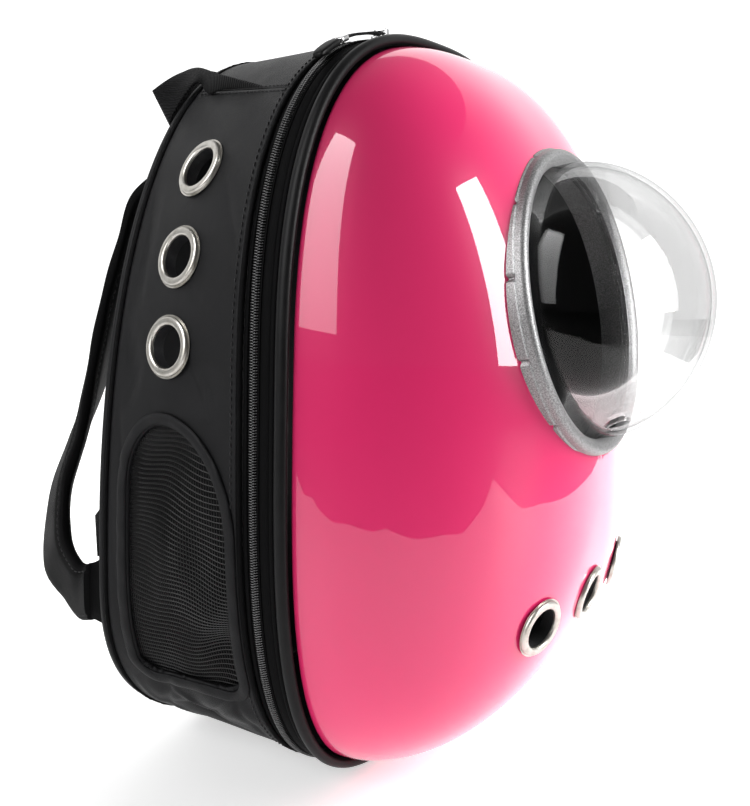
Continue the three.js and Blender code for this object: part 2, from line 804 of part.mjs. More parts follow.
// Zipper slider: a plate on the coil with a bridge, under which the pull is held
const sliderTop = seamGap + sliderBase;
const bridgeStart = sliderOut + (sliderLength - bridgeLength) / 2;
const bridgeTop = sliderTop + bridgeHeight;
const bridgeHole = toManifold(trackBlock(
  bridgeStart - 1, bridgeLength + 2, sliderWidth - 2 * bridgeWall, sliderTop, bridgeTop - bridgeWall,
));
const bridge = toManifold(trackBlock(bridgeStart, bridgeLength, sliderWidth, seamGap + 0.5, bridgeTop));
const plate = toManifold(trackBlock(sliderOut, sliderLength, sliderWidth, seamGap, sliderTop));
addMesh('zipper_slider', toGeometry(bridge.subtract(bridgeHole).add(plate)), satinSilver);
const pullStart = bridgeStart + bridgeLength / 4;
const pullLow = sliderTop + seamGap;
const pullStrap = trackBlock(pullStart, pullLength, pullWidth, pullLow, pullLow + pullThickness);
addMesh('zipper_pull', pullStrap, blackWebbing);
const pullMiddle = pullLow + pullThickness / 2;
const crimpStart = pullStart + pullLength + seamGap;
addMesh('pull_crimp', trackBlock(
  crimpStart, crimpLength, gripWidth, pullMiddle - crimpThickness / 2, pullMiddle + crimpThickness / 2,
), satinSilver);
addMesh('pull_grip', trackBlock(
  crimpStart + crimpLength + seamGap, gripLength, gripWidth,
  pullMiddle - gripThickness / 2, pullMiddle + gripThickness / 2,
), blackVinyl);

// Ribbons and pads: stations along the way, each with its two edges. Smooth curves run through
// them, and the profile gives the thickness from one edge, -1, to the other, 1.
function band(stations, steps, thickness, profile) {
  const [first, second] = ['upper', 'lower'].map((edge) => (
    new THREE.CatmullRomCurve3(stations.map((station) => station[edge]), false, 'centripetal')
  ));
  const sections = [];
  for (let i = 0; i <= steps; i += 1) {
    const t = i / steps;
    const across = second.getPoint(t).sub(first.getPoint(t));
    const middle = first.getPoint(t).addScaledVector(across, 0.5);
    const face = across.clone().cross(first.getTangent(t).add(second.getTangent(t))).normalize();
    const front = [];
    const rear = [];
    profile.forEach(({ at, share }) => {
      const point = middle.clone().addScaledVector(across, at / 2);
      front.push(point.clone().addScaledVector(face, (share * thickness) / 2));
      rear.unshift(point.clone().addScaledVector(face, (-share * thickness) / 2));
    });
    sections.push([...front, ...rear]);
  }
  return loft(sections, false);
}

const flatProfile = [{ at: -1, share: 1 }, { at: 1, share: 1 }];
const padProfile = [
  { at: -1, share: 0.45 }, { at: -0.82, share: 0.95 }, { at: 0, share: 1 },
  { at: 0.82, share: 0.95 }, { at: 1, share: 0.45 },
];

// Carry handle: a loop of webbing sewn into both shoulder seams and flopped behind the top.
// Each row holds both edges as out, a share of the top half width, behind, a share of the
// gusset's depth behind the back face, and up, a share of the bag's height.
const backFace = backFaceY(0);
const handleTable = [
  { upper: [0.591, -0.504, 0.934], lower: [0.553, -0.340, 0.914] },
  { upper: [0.454, -0.060, 0.957], lower: [0.541, -0.200, 0.931] },
  { upper: [0.564, 0.130, 0.927], lower: [0.543, 0.020, 0.880] },
  { upper: [0.344, 0.130, 0.965], lower: [0.344, 0.075, 0.888] },
];
const handleMiddle = { upper: [0, 0.120, 0.970], lower: [0, 0.075, 0.890] };

function handlePoint([out, behind, up]) {
  return vector(-out * topHalfWidth, backFace + behind * gussetDepth, up * bagHeight);
}

// A place on the shoulder seam, a share of the way back, raised clear of the cloth
function seamPlace(along) {
  const share = lerp(shoulderSeamFront, shoulderSeamBack, along);
  const { outward } = outlineAt(share, lerp(gussetFront, gussetBack, along), gussetInset, 0);
  const raise = seamGap + webbingThickness / 2 + 0.5;
  return gussetPoint(share, along, gussetInset).add(vector(outward.x * raise, 0, outward.y * raise));
}

const sewnHalf = handleWidth / 2 / gussetDepth;
const handleHalf = [
  { upper: seamPlace(0.5 - sewnHalf), lower: seamPlace(0.5 + sewnHalf) },
  ...handleTable.map(({ upper, lower }) => ({ upper: handlePoint(upper), lower: handlePoint(lower) })),
];
const flip = (point) => vector(-point.x, point.y, point.z);
const handleOther = handleHalf.map(({ upper, lower }) => ({ upper: flip(upper), lower: flip(lower) }));
const handleCentre = { upper: handlePoint(handleMiddle.upper), lower: handlePoint(handleMiddle.lower) };
const handleWay = [...handleHalf, handleCentre, ...handleOther.reverse()];
addMesh('carry_handle', band(handleWay, 24, webbingThickness, flatProfile), blackWebbing);

// Shoulder straps: padded bands sewn flat to the top of the back, slack behind it, and turned
// forwards to a folded tab in the lower corner. Out is a share of the bottom half width, behind
// a share of the strap's reach behind the back face, up a share of the bag's height.
const strapSewn = [
  { out: 0.250, up: 0.868 },
  { out: 0.255, up: 0.850 },
];
const strapTable = [
  { out: 0.270, behind: 0.30, up: 0.818, width: 1.00, across: [0.98, 0.15, 0] },
  { out: 0.300, behind: 0.60, up: 0.778, width: 1.00, across: [0.97, 0.22, 0] },
  { out: 0.343, behind: 0.74, up: 0.717, width: 1.00, across: [0.93, 0.36, 0] },
  { out: 0.404, behind: 0.84, up: 0.647, width: 1.00, across: [0.88, 0.47, -0.03] },
  { out: 0.462, behind: 0.90, up: 0.574, width: 1.00, across: [0.83, 0.55, -0.08] },
  { out: 0.560, behind: 0.92, up: 0.480, width: 1.00, across: [0.70, 0.69, -0.15] },
  { out: 0.640, behind: 0.92, up: 0.419, width: 1.00, across: [0.55, 0.79, -0.28] },
  { out: 0.715, behind: 0.97, up: 0.342, width: 1.00, across: [0.45, 0.80, -0.40] },
  { out: 0.790, behind: 0.84, up: 0.262, width: 1.00, across: [0.32, 0.73, -0.60] },
  { out: 0.820, behind: 0.57, up: 0.228, width: 0.95, across: [0.36, 0.62, -0.70] },
  { out: 0.850, behind: 0.34, up: 0.224, width: 0.78, across: [0.20, 0.40, -0.90] },
  { out: 0.885, behind: 0.16, up: 0.236, width: 0.64, across: [0.05, 0.10, -1] },
];
const sewnLift = seamGap + strapThickness / 2;

function strapStation(middle, width, across) {
  const half = vector(...across).setLength((width * strapWidth) / 2);
  return { upper: middle.clone().sub(half), lower: middle.clone().add(half) };
}

const strapStations = [
  ...strapSewn.map(({ out, up }) => {
    const [x, z] = [out * bottomHalfWidth, up * bagHeight];
    const faces = [-0.5, 0, 0.5].map((side) => backFaceAt(x + side * strapWidth, z));
    return strapStation(vector(-x, Math.max(...faces) + sewnLift, z), 1, [1, 0, 0]);
  }),
  ...strapTable.map(({ out, behind, up, width, across }) => (
    strapStation(
      vector(-out * bottomHalfWidth, backFace + behind * strapReach, up * bagHeight), width, across,
    )
  )),
];
addPair('shoulder_strap', band(strapStations, 16, strapThickness, padProfile), blackCloth);

// The root of a ribbon that stands upright on the back panel
function backRoot(out, height, width, thickness) {
  const faces = [-1, 0, 1].flatMap((end) => [-1, 1].map((side) => (
    backFaceAt(out + (side * thickness) / 2, height + (end * width) / 2)
  )));
  const y = Math.max(...faces) + seamGap;
  return { upper: vector(-out, y, height + width / 2), lower: vector(-out, y, height - width / 2) };
}

// Folded cloth tab that holds the strap's lower end
const strapEnd = strapStations[strapStations.length - 1];
const strapBefore = strapStations[strapStations.length - 2];
const strapBack = strapEnd.upper.clone().sub(strapBefore.upper).add(strapEnd.lower).sub(strapBefore.lower);
strapBack.setLength(seamGap + tabThickness / 4);
const tabStations = [
  backRoot(tabOut, tabHeight, tabWidth, tabThickness),
  { upper: strapEnd.upper.clone().add(strapBack), lower: strapEnd.lower.clone().add(strapBack) },
];
addPair('strap_tab', band(tabStations, 2, tabThickness, flatProfile), blackCloth);

// Tail of webbing from the strap's buckle, sewn above the tab
const tailRoot = backRoot(tailOut, tailHeight, tailWidth, webbingThickness);
const tailDrop = vector(4, tailLength, -tailWidth / 2);
const tailStations = [
  tailRoot,
  { upper: tailRoot.upper.clone().add(tailDrop), lower: tailRoot.lower.clone().add(tailDrop) },
];
addPair('strap_tail', band(tailStations, 2, webbingThickness, flatProfile), blackWebbing);

export default bag;
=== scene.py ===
import math

import bpy
import numpy as np
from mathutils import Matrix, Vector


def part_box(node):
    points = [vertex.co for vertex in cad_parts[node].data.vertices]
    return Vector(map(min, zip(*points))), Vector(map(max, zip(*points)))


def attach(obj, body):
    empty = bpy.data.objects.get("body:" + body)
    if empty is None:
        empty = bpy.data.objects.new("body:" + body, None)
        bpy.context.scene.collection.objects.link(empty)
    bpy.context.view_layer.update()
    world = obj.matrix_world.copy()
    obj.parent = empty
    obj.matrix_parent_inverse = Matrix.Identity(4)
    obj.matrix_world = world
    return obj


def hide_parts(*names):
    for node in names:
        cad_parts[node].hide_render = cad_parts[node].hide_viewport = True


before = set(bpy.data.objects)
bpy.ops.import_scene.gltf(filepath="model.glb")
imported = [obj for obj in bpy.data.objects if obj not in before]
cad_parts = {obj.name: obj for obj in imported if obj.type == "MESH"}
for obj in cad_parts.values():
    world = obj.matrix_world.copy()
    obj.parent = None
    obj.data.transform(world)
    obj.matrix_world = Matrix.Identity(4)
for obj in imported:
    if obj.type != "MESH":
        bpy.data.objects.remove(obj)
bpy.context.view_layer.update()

# The view: from the bag's left front, a little above, with a long lens. The picture is 750 pixels
# wide, and the focal length is the one that fits the bag's known corners in the photograph.
camera_place = (-0.4914, -0.3377, 0.3044)
camera_turn = -57.97
camera_dip = 10.23
focal_pixels = 910.8
picture_width = 750
sensor_width = 36

camera_data = bpy.data.cameras.new("camera")
camera_data.sensor_fit = "HORIZONTAL"
camera_data.sensor_width = sensor_width
camera_data.lens = focal_pixels * sensor_width / picture_width
camera = bpy.data.objects.new("camera", camera_data)
camera.location = camera_place
camera.rotation_euler = (math.radians(90 - camera_dip), 0, math.radians(camera_turn))
bpy.context.scene.collection.objects.link(camera)
bpy.context.scene.camera = camera


class Finish:
    """A material and its nodes. node() adds one: its type, its settings, then its sockets."""

    def __init__(self, name):
        self.material = bpy.data.materials.new(name)
        self.material.use_nodes = True
        self.nodes = self.material.node_tree.nodes
        self.links = self.material.node_tree.links
        self.shader = self.nodes["Principled BSDF"]

    def plug(self, socket, value):
        if isinstance(value, Wire):
            self.links.new(value.socket, socket)
        else:
            socket.default_value = value

    def node(self, kind, settings, *inputs, output=0, **named):
        made = self.nodes.new("ShaderNode" + kind)
        for key, value in settings.items():
            setattr(made, key, value)
        for socket, value in zip(made.inputs, inputs):
            self.plug(socket, value)
        for key, value in named.items():
            self.plug(made.inputs[key], value)
        return Wire(self, made.outputs[output])

    def set(self, **values):
        """Sets the shader's own sockets: a name's underscores stand for spaces."""
        for key, value in values.items():
            self.plug(self.shader.inputs[key.replace("_", " ")], value)

    def mix(self, share, first, second):
        """A colour between two."""
        made = self.nodes.new("ShaderNodeMix")
        made.data_type = "RGBA"
        for index, value in ((0, share), (6, first), (7, second)):
            self.plug(made.inputs[index], value)
        return Wire(self, made.outputs[2])

    def noise(self, scale, detail=2.0, where=None):
        """Cloudy noise from 0 to 1 over the piece's own coordinates, scale in lumps a metre."""
        place = where or self.node("TexCoord", {}, output=3)
        return self.node("TexNoise", {}, Vector=place, Scale=scale, Detail=detail)

    def bump(self, height, depth):
        """Turns the shader's normal by a height from 0 to 1 that is depth metres deep."""
        self.set(Normal=self.node("Bump", {}, Strength=1.0, Distance=depth, Height=height))

    def mottle(self, lumps, first, second, **sockets):
        """Varies the colour between two by noise, sets the other sockets, and gives the noise."""
        clouds = self.noise(lumps)
        self.set(Base_Color=self.mix(clouds, first, second), **sockets)
        return clouds

    def grain(self):
        """The two coordinates of the piece's own map, in millimetres of cloth."""
        chart = self.node("TexCoord", {}, output=2)
        return tuple(self.node("SeparateXYZ", {}, chart, output=k) * 1000 for k in (0, 1))


class Wire:
    """One output of a node. Sums, products and the like of wires add Math nodes."""

    def __init__(self, finish, socket):
        self.finish = finish
        self.socket = socket

    def math(self, operation, *others):
        return self.finish.node("Math", {"operation": operation}, self, *others)

    def __add__(self, other):
        return self.math("ADD", other)

    def __mul__(self, other):
        return self.math("MULTIPLY", other)

    def __rsub__(self, other):
        return self.finish.node("Math", {"operation": "SUBTRACT"}, other, self)

    def __pow__(self, other):
        return self.math("POWER", other)

    __radd__ = __add__
    __rmul__ = __mul__

    def wave(self, pitch):
        """A smooth ridge from 0 to 1 and back in each pitch."""
        return (self * (2 * math.pi / pitch)).math("SINE") * 0.5 + 0.5

    def rise(self, low, high):
        """0 up to low and 1 from high on."""
        return self.finish.node("MapRange", {"clamp": True}, self, low, high, 0.0, 1.0)


# The room: the bag stands on white paper whose near edge lies uneven behind the camera, on a dark
# floor. A white screen curves round behind the bag and on its right. Two tall windows, at the left
# and the front, lie on the shell as bright panels; broad lamps wash the bag from the left, the
# right front and above. The rest of the room is dim.
paper_edge = [
    (-2.4, 1.6), (-1.15, 0.62), (-0.92, 0.22), (-0.94, 0.12), (-0.86, 0.03), (-0.78, -0.10),
    (-0.76, -0.22), (-0.66, -0.36), (-0.64, -0.44), (-0.48, -0.52), (-0.36, -0.62), (-0.26, -0.66),
    (-0.16, -0.84), (-0.10, -1.02), (0.00, -0.90), (0.10, -0.76), (0.24, -0.72), (0.40, -0.62),
    (0.62, -0.50), (1.10, -0.45), (2.6, -0.8), (2.6, 2.6), (-2.4, 2.6),
]
paper_drop = 0.0004
ground_drop = 0.004
screen_distance = 2.5
screen_height = 3.2
screen_from = 20
screen_to = 204
screen_posts = 61
screen_light = 1.25
room_light = 0.09
bag_middle = np.array([0, -0.05, 0.2])


def stage_piece(name, points, faces, finish):
    """A piece of the room, which isn't part of the bag."""
    mesh = bpy.data.meshes.new(name)
    mesh.from_pydata(np.asarray(points, float).tolist(), [], faces)
    mesh.materials.append(finish.material)
    piece = bpy.data.objects.new(name, mesh)
    bpy.context.scene.collection.objects.link(piece)
    return piece


paper_finish = Finish("white_paper")
paper_finish.set(
    Base_Color=(0.88, 0.88, 0.88, 1), Roughness=0.5, Specular_IOR_Level=0.2,
    Emission_Color=(1, 1, 1, 1), Emission_Strength=0.55,
)
paper = [(x, y, -paper_drop) for x, y in paper_edge]
stage_piece("paper", paper[::-1], [tuple(range(len(paper)))[::-1]], paper_finish)
ground_finish = Finish("dark_ground")
ground_finish.set(Base_Color=(0.06, 0.06, 0.06, 1), Roughness=0.6)
stage_piece("ground", [(x, y, -ground_drop) for x, y in ((-9, -9), (9, -9), (9, 9), (-9, 9))],
            [(0, 1, 2, 3)], ground_finish)


def stack(*parts):
    """Arrays and numbers put together as the coordinates of places."""
    return np.stack(np.broadcast_arrays(*parts), -1)


def bearing(azimuth, elevation=0.0):
    """Direction at an azimuth, counted from the bag's front towards its right, and an elevation."""
    a, e = np.radians(azimuth), np.radians(elevation)
    return stack(np.sin(a) * np.cos(e), -np.cos(a) * np.cos(e), np.sin(e))


screen_finish = Finish("white_screen")
screen_place = screen_finish.node("TexCoord", {}, output=3)
screen_fade = screen_finish.node("SeparateXYZ", {}, screen_place, output=1).rise(-2.3, -0.2)
screen_finish.set(
    Base_Color=(0, 0, 0, 1), Emission_Strength=screen_light,
    Emission_Color=screen_finish.mix(screen_fade, (0.12, 0.12, 0.12, 1), (1, 1, 1, 1)),
)
posts = bearing(np.linspace(screen_from, screen_to, screen_posts)) * screen_distance
screen = np.vstack([posts - [0, 0, 0.05], posts + [0, 0, screen_height]])
faces = [(k, k + 1, k + 1 + screen_posts, k + screen_posts) for k in range(screen_posts - 1)]
stage_piece("screen", screen, faces, screen_finish)


def window_light(name, azimuth, spread, low, high, distance, dim, bright):
    """A tall glowing panel between two elevations. It gets brighter from its foot to its head."""
    finish = Finish(name)
    foot, head = (bag_middle[2] + distance * math.tan(math.radians(e)) for e in (low, high))
    place = finish.node("TexCoord", {}, output=3)
    share = finish.node("SeparateXYZ", {}, place, output=2).rise(foot, head)
    finish.set(
        Base_Color=(0, 0, 0, 1), Emission_Strength=bright,
        Emission_Color=finish.mix(share, (dim / bright, dim / bright, dim / bright, 1), (1, 1, 1, 1)),
    )
    middle = bag_middle * [1, 1, 0] + bearing(azimuth) * distance
    beside = bearing(azimuth + 90) * distance * math.tan(math.radians(spread / 2))
    corners = ((-1, foot), (1, foot), (1, head), (-1, head))
    points = [middle + beside * way + [0, 0, height] for way, height in corners]
    stage_piece(name, points, [(0, 1, 2, 3)], finish).visible_diffuse = False


window_light("left_window", azimuth=-105, spread=36, low=5, high=60, distance=1.35,
             dim=4.0, bright=11.0)
window_light("front_window", azimuth=9.5, spread=20, low=1, high=41, distance=1.6,
             dim=17.0, bright=26.0)


def wash(name, azimuth, elevation, distance, width, height, watts):
    """A broad lamp that faces the bag's middle and shows in no reflection."""
    data = bpy.data.lights.new(name, "AREA")
    data.shape = "RECTANGLE"
    data.size = width
    data.size_y = height
    data.energy = watts
    lamp = bpy.data.objects.new(name, data)
    lamp.location = bag_middle + bearing(azimuth, elevation) * distance
    lamp.rotation_euler = (math.radians(90 - elevation), 0, math.radians(azimuth))
    lamp.visible_glossy = False
    bpy.context.scene.collection.objects.link(lamp)


wash("left_wash", azimuth=-100, elevation=25, distance=1.5, width=0.7, height=1.0, watts=13)
wash("front_wash", azimuth=38, elevation=24, distance=1.7, width=0.9, height=1.1, watts=50)
wash("top_wash", azimuth=112, elevation=60, distance=1.7, width=1.5, height=1.1, watts=14)

world = bpy.data.worlds.new("studio")
world.use_nodes = True
world.node_tree.nodes["Background"].inputs["Color"].default_value = (1, 1, 1, 1)
world.node_tree.nodes["Background"].inputs["Strength"].default_value = room_light
bpy.context.scene.world = world
bpy.context.scene.view_settings.view_transform = "Standard"


# Outline of the bag from the front: two half superellipses that meet at a split height, on a half
# width that narrows upwards. Shell, bands, gusset and back are all cut to it. Millimetres.
bag_height = 422
bottom_half = 167.5
top_half = 145.5
back_flare = 2
front_form = (244, 2.7, 3.5)
back_form = (120, 2.35, 2.45)
floor_sink = 5
seam_gap = 0.3
piping_radius = 1.4
gusset_depth = 91
tape_width = 2.6
coil_width = 7
band_width = 9
trim_width = 7.3
gusset_front = -gusset_depth / 2
gusset_back = gusset_depth / 2
front_piping_y = gusset_front - seam_gap - piping_radius
tape_back = front_piping_y - piping_radius - seam_gap
tape_front = tape_back - tape_width
coil_back = tape_front - seam_gap
coil_front = coil_back - coil_width
coil_middle = (coil_front + coil_back) / 2
band_back = coil_front - seam_gap
band_front = band_back - band_width
trim_back = band_front - seam_gap
trim_front = trim_back - trim_width
shell_edge = trim_front - seam_gap
back_piping_y = gusset_back + seam_gap + piping_radius
back_front = back_piping_y + piping_radius + seam_gap
outlines = {}


def run_along(*coordinates):
    """The distance along a path at each of its points."""
    steps = np.linalg.norm(np.diff(np.array(coordinates), axis=1), axis=0)
    return np.concatenate([[0], np.cumsum(steps)])


def unit(vectors):
    """Vectors brought to a length of 1."""
    return vectors / np.maximum(np.linalg.norm(vectors, axis=-1, keepdims=True), 1e-9)


def outline_table(y):
    """Corners of the outline at a depth and the share of the way round at each, from the middle
    of the bottom by the -X side. A superellipse is sign(cos) |cos|^(2/n), sign(sin) |sin|^(2/n)."""
    back = min(max((y - coil_middle) / (back_piping_y - coil_middle), 0), 1)
    if back not in outlines:
        split, top_round, bottom_round = (a + (b - a) * back for a, b in zip(front_form, back_form))
        step = np.linspace(0, 4, 4001)
        part = step % 1
        part = np.where(step == 4, 1, part * part * (3 - 2 * part))
        angle = -np.pi / 2 - (np.minimum(np.floor(step), 3) + part) * np.pi / 2
        c, s = np.cos(angle), np.sin(angle)
        power = 2 / np.where(s > 0, top_round, bottom_round)
        rise = np.where(s > 0, bag_height - split, split)
        z = split + np.sign(s) * rise * np.abs(s) ** power
        half = bottom_half + (top_half - bottom_half) * z / bag_height + back_flare * back
        x = np.sign(c) * half * np.abs(c) ** power
        length = run_along(x, z)
        outlines[back] = x, z, length / length[-1], length[-1]
    return outlines[back]


outline_length = outline_table(coil_middle)[3]


def outline(share, y, inset, lowest=0.0):
    """Places on the outline moved inwards by an inset: x, z and the outward direction's x and z."""
    x, z, shares, _ = outline_table(y)
    share = np.asarray(share, float)
    step = 0.004
    (x0, x, x1), (z0, z, z1) = (
        [np.interp((share + s) % 1, shares, v) for s in (-step, 0, step)] for v in (x, z)
    )
    run_x, run_z = np.moveaxis(unit(stack(x1 - x0, z1 - z0)), -1, 0)
    return x + run_z * inset, np.maximum(z - run_x * inset - floor_sink, lowest), -run_z, run_x


def grid(rows, columns, join_rows=False, join_columns=False):
    """Corner numbers of the four-sided faces on a grid of points whose ends may join up."""
    r = np.arange(rows if join_rows else rows - 1)[:, None]
    c = np.arange(columns if join_columns else columns - 1)[None, :]
    below, after = (r + 1) % rows, (c + 1) % columns
    corners = [r * columns + c, r * columns + after, below * columns + after, below * columns + c]
    return np.stack(corners, -1).reshape(-1, 4)


flat_volume = 1e-6


def outward(points, faces, inside=(0, 0, 0)):
    """The faces, turned round if on the whole they look towards an inside point. For a closed
    piece any point does, as the sum is six times its volume."""
    a, b, c, d = (points[faces[:, k]] - inside for k in range(4))
    out = np.sum(a * np.cross(b, c)) + np.sum(a * np.cross(c, d))
    return faces[:, ::-1] if out < -flat_volume else faces


def make_piece(name, sheet, finish, slot, replaces=(), wall=None, smooth=180, inside=(0, 0, 0)):
    """A piece of the bag from points in millimetres, faces and perhaps a map in millimetres of
    cloth. Solidify adds the wall inwards, and smooth is the angle over which edges stay sharp."""
    points, faces, *chart = sheet
    faces = outward(points, faces, inside).tolist()
    mesh = bpy.data.meshes.new(name)
    mesh.from_pydata((points / 1000).tolist(), [], [list(dict.fromkeys(face)) for face in faces])
    if chart:
        layer = mesh.uv_layers.new(name="cloth")
        corners = np.empty(len(mesh.loops), int)
        mesh.loops.foreach_get("vertex_index", corners)
        layer.data.foreach_set("uv", (chart[0].reshape(-1, 2)[corners] / 1000).ravel())
    mesh.shade_smooth()
    if smooth < 180:
        mesh.set_sharp_from_angle(angle=math.radians(smooth))
    mesh.materials.append(finish.material)
    piece = bpy.data.objects.new(name, mesh)
    bpy.context.scene.collection.objects.link(piece)
    if wall:
        solid = piece.modifiers.new("wall", "SOLIDIFY")
        solid.thickness = wall / 1000
        solid.offset = -1
    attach(piece, "root")
    for node in replaces:
        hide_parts(node)
    return piece


# Shell: the hard front of the bag, one glossy pink moulding with a black inner face. Its loops
# shrink from the outline to the apex while it bulges forwards; the window and eyelets are cut out.
shell_depth = 107
shell_inset = 8
shell_wall = 2.5
shell_apex = 165
shell_bulge = 2.337
shell_shoulder = 1.793
shell_steps = (420, 120)
cabin_middle = np.array([0, 0, 200])
pink = (0.82, 0.032, 0.162, 1)

shell_finish = Finish("glossy_pink")
clouds = shell_finish.noise(14.0)
shell_finish.set(
    Base_Color=shell_finish.mix(clouds, pink, (0.78, 0.029, 0.150, 1)),
    Roughness=clouds * 0.04 + 0.3, Specular_IOR_Level=0.1,
    Coat_Weight=1.0, Coat_Roughness=0.008, Coat_IOR=1.5,
)
shell_finish.bump(shell_finish.noise(60.0, 0.0), 0.00003)
# Dark lining: the shell's own black inner face, and also painted shade on the eyelets' barrels and
# washers, which take it instead of nickel.
lining_and_shade_finish = Finish("dark_lining_and_painted_shade")
weave = lining_and_shade_finish.mottle(
    900.0, (0.010, 0.010, 0.011, 1), (0.022, 0.022, 0.024, 1), Roughness=0.5,
)
lining_and_shade_finish.bump(weave, 0.0002)


def shell_place(share, polar, out=0.0):
    """Places on the shell: polar is 0 at the apex and 1 at the edge. Reach is sin^(2/bulge) of the
    polar angle, the rise forwards cos^(2/shoulder) of it; out is added along the normal."""
    share, polar = np.broadcast_arrays(np.asarray(share, float), np.asarray(polar, float))

    def surface(share, polar):
        angle = polar * math.pi / 2
        grow = np.sin(angle) ** (2 / shell_bulge)
        rise = np.maximum(np.cos(angle), 0) ** (2 / shell_shoulder)
        x, z, _, _ = outline(share, shell_edge, shell_inset)
        return stack(x * grow, shell_edge - shell_depth * rise, shell_apex + (z - shell_apex) * grow)

    step = 0.002
    off_apex = np.maximum(polar, step)
    around = surface(share + step, off_apex) - surface(share - step, off_apex)
    across = surface(share, np.minimum(polar + step, 1)) - surface(share, np.maximum(polar - step, 0))
    normal = unit(np.cross(around, across))
    return surface(share, polar) + normal * out, normal


def shell_at(x, z):
    """The share and polar of a place seen from the front."""
    shares = np.linspace(0, 0.5, 2001)
    edge_x, edge_z, _, _ = outline(shares, shell_edge, shell_inset)
    turn = np.arctan2(np.abs(edge_x), edge_z - shell_apex)
    share = np.interp(-math.atan2(abs(x), z - shell_apex), -turn, shares)
    edge_x, edge_z, _, _ = outline(share, shell_edge, shell_inset)
    grow = math.hypot(x, z - shell_apex) / math.hypot(edge_x, edge_z - shell_apex)
    return (share if x <= 0 else -share), math.asin(grow ** (shell_bulge / 2)) * 2 / math.pi


def cut_round(points, faces, centre, axis, radius):
    """Drops the faces inside a round hole and moves the points on its border onto the circle."""
    away = points - centre
    rim = away - np.outer(away @ axis, axis)
    far = np.linalg.norm(rim, axis=1)
    near = (np.abs(away @ axis) < 3 * radius) & (far < 3 * radius)
    hit = (far[faces].mean(1) < radius) & near[faces].all(1)
    kept, cut = np.unique(faces[~hit]), np.unique(faces[hit])
    border = np.intersect1d(kept, cut)
    points = points.copy()
    points[border] += rim[border] * (radius / far[border] - 1)[:, None]
    return points, faces[~hit]


def drop_loose(points, faces, *charts):
    """Drops the points that no face uses any more."""
    used, numbers = np.unique(faces, return_inverse=True)
    return (points[used], numbers.reshape(faces.shape), *(chart[used] for chart in charts))


def close_tip(points, faces, steps, column, tip):
    """Adds a point, and a fan of faces to it from the first or last column of a round sheet."""
    ends = np.arange(steps[0]) * steps[1] + column
    after = np.roll(ends, -1)
    pair = (ends, after) if column == 0 else (after, ends)
    fan = np.stack([np.full_like(ends, len(points)), *pair, pair[1]], -1)
    return np.vstack([points, [tip]]), np.vstack([faces, fan])


ring_height = 268
ring_front = 160.1
ring_tilt = math.radians(11.7)
ring_radius = 86
bubble_radius = 75.5
bubble_flange = 3.4
ring_sleeve = 2
ring_centre = np.array([0, -ring_front, ring_height])
ring_axis = np.array([0, -math.cos(ring_tilt), math.sin(ring_tilt)])
shell_hole = bubble_radius + bubble_flange + ring_sleeve + 2 * seam_gap
eyelet_radius = 16.8
eyelet_hole = 11.2
eyelet_barrel = 12.4
front_eyelet_places = [(-61, 102), (0, 102), (61, 102)]

rows = np.arange(shell_steps[0]) / shell_steps[0]
columns = np.linspace(0, 1, shell_steps[1] + 1)[1:]
shell = close_tip(
    shell_place(rows[:, None], columns)[0].reshape(-1, 3), grid(*shell_steps, join_rows=True),
    shell_steps, 0, shell_place(0.0, 0.0)[0],
)
front_eyelets = [shell_place(*shell_at(x, z)) for x, z in front_eyelet_places]
for place, normal in front_eyelets:
    shell = cut_round(*shell, place, normal, eyelet_barrel + seam_gap)
shell = drop_loose(*cut_round(*shell, ring_centre, ring_axis, shell_hole))
shell_piece = make_piece("pink_shell", shell, shell_finish, "shell", ["shell"],
                         wall=shell_wall, inside=cabin_middle)
shell_piece.data.materials.append(lining_and_shade_finish.material)
shell_piece.modifiers["wall"].material_offset = 1


# Window ring: a turned plastic ring in satin silver paint, with grip notches round its outer wall.
# It screws down on the shell, and its lip holds the bubble's flange.
ring_crest = 10.5
ring_lip = 9
ring_skirt = 9
notch_count = 13
notch_depth = 1.7
notch_half = math.radians(0.8)
ring_steps = 936

silver_finish = Finish("silver_paint")
specks = silver_finish.noise(1500.0, 3.0)
silver_finish.set(
    Base_Color=silver_finish.mix(specks.rise(0.35, 0.7), (0.14, 0.14, 0.143, 1), (0.36, 0.36, 0.36, 1)),
    Metallic=0.6, Roughness=specks * 0.15 + 0.36,
)
silver_finish.bump(specks, 0.00012)


def cross_axes(axis):
    """Two directions square to an axis and to each other."""
    up = unit(np.cross(axis, [1.0, 0, 0]))
    return up, np.cross(up, axis)


def turned(profile, steps, centre=ring_centre, axis=ring_axis, shift=None, closed=True):
    """A profile of radius and height turned about an axis. shift(angle, radius, height) changes
    the radius at each angle."""
    profile = np.array(profile, float)
    up, beside = cross_axes(axis)
    angle = np.arange(steps)[:, None] * 2 * np.pi / steps
    radius, height = profile.T
    if shift:
        radius = radius + shift(angle, radius, height)
    points = (centre + height[:, None] * axis
              + (radius * np.cos(angle))[..., None] * up + (radius * np.sin(angle))[..., None] * beside)
    return points.reshape(-1, 3), grid(steps, len(profile), join_rows=True, join_columns=closed)


def arc(centre, radius, start, end, steps):
    """Points of radius and height on an arc, angles in degrees."""
    angle = np.radians(np.linspace(start, end, steps))
    return [(centre[0] + radius * math.cos(a), centre[1] + radius * math.sin(a)) for a in angle]


def notch(angle, radius, height):
    """Narrow grooves across the outer wall, each a smooth dip."""
    turn = (angle + math.radians(9)) % (2 * np.pi / notch_count) - np.pi / notch_count
    dip = np.exp(-((turn / notch_half) ** 2)) * (radius > ring_radius - 0.8) * (height > -5)
    return -notch_depth * dip


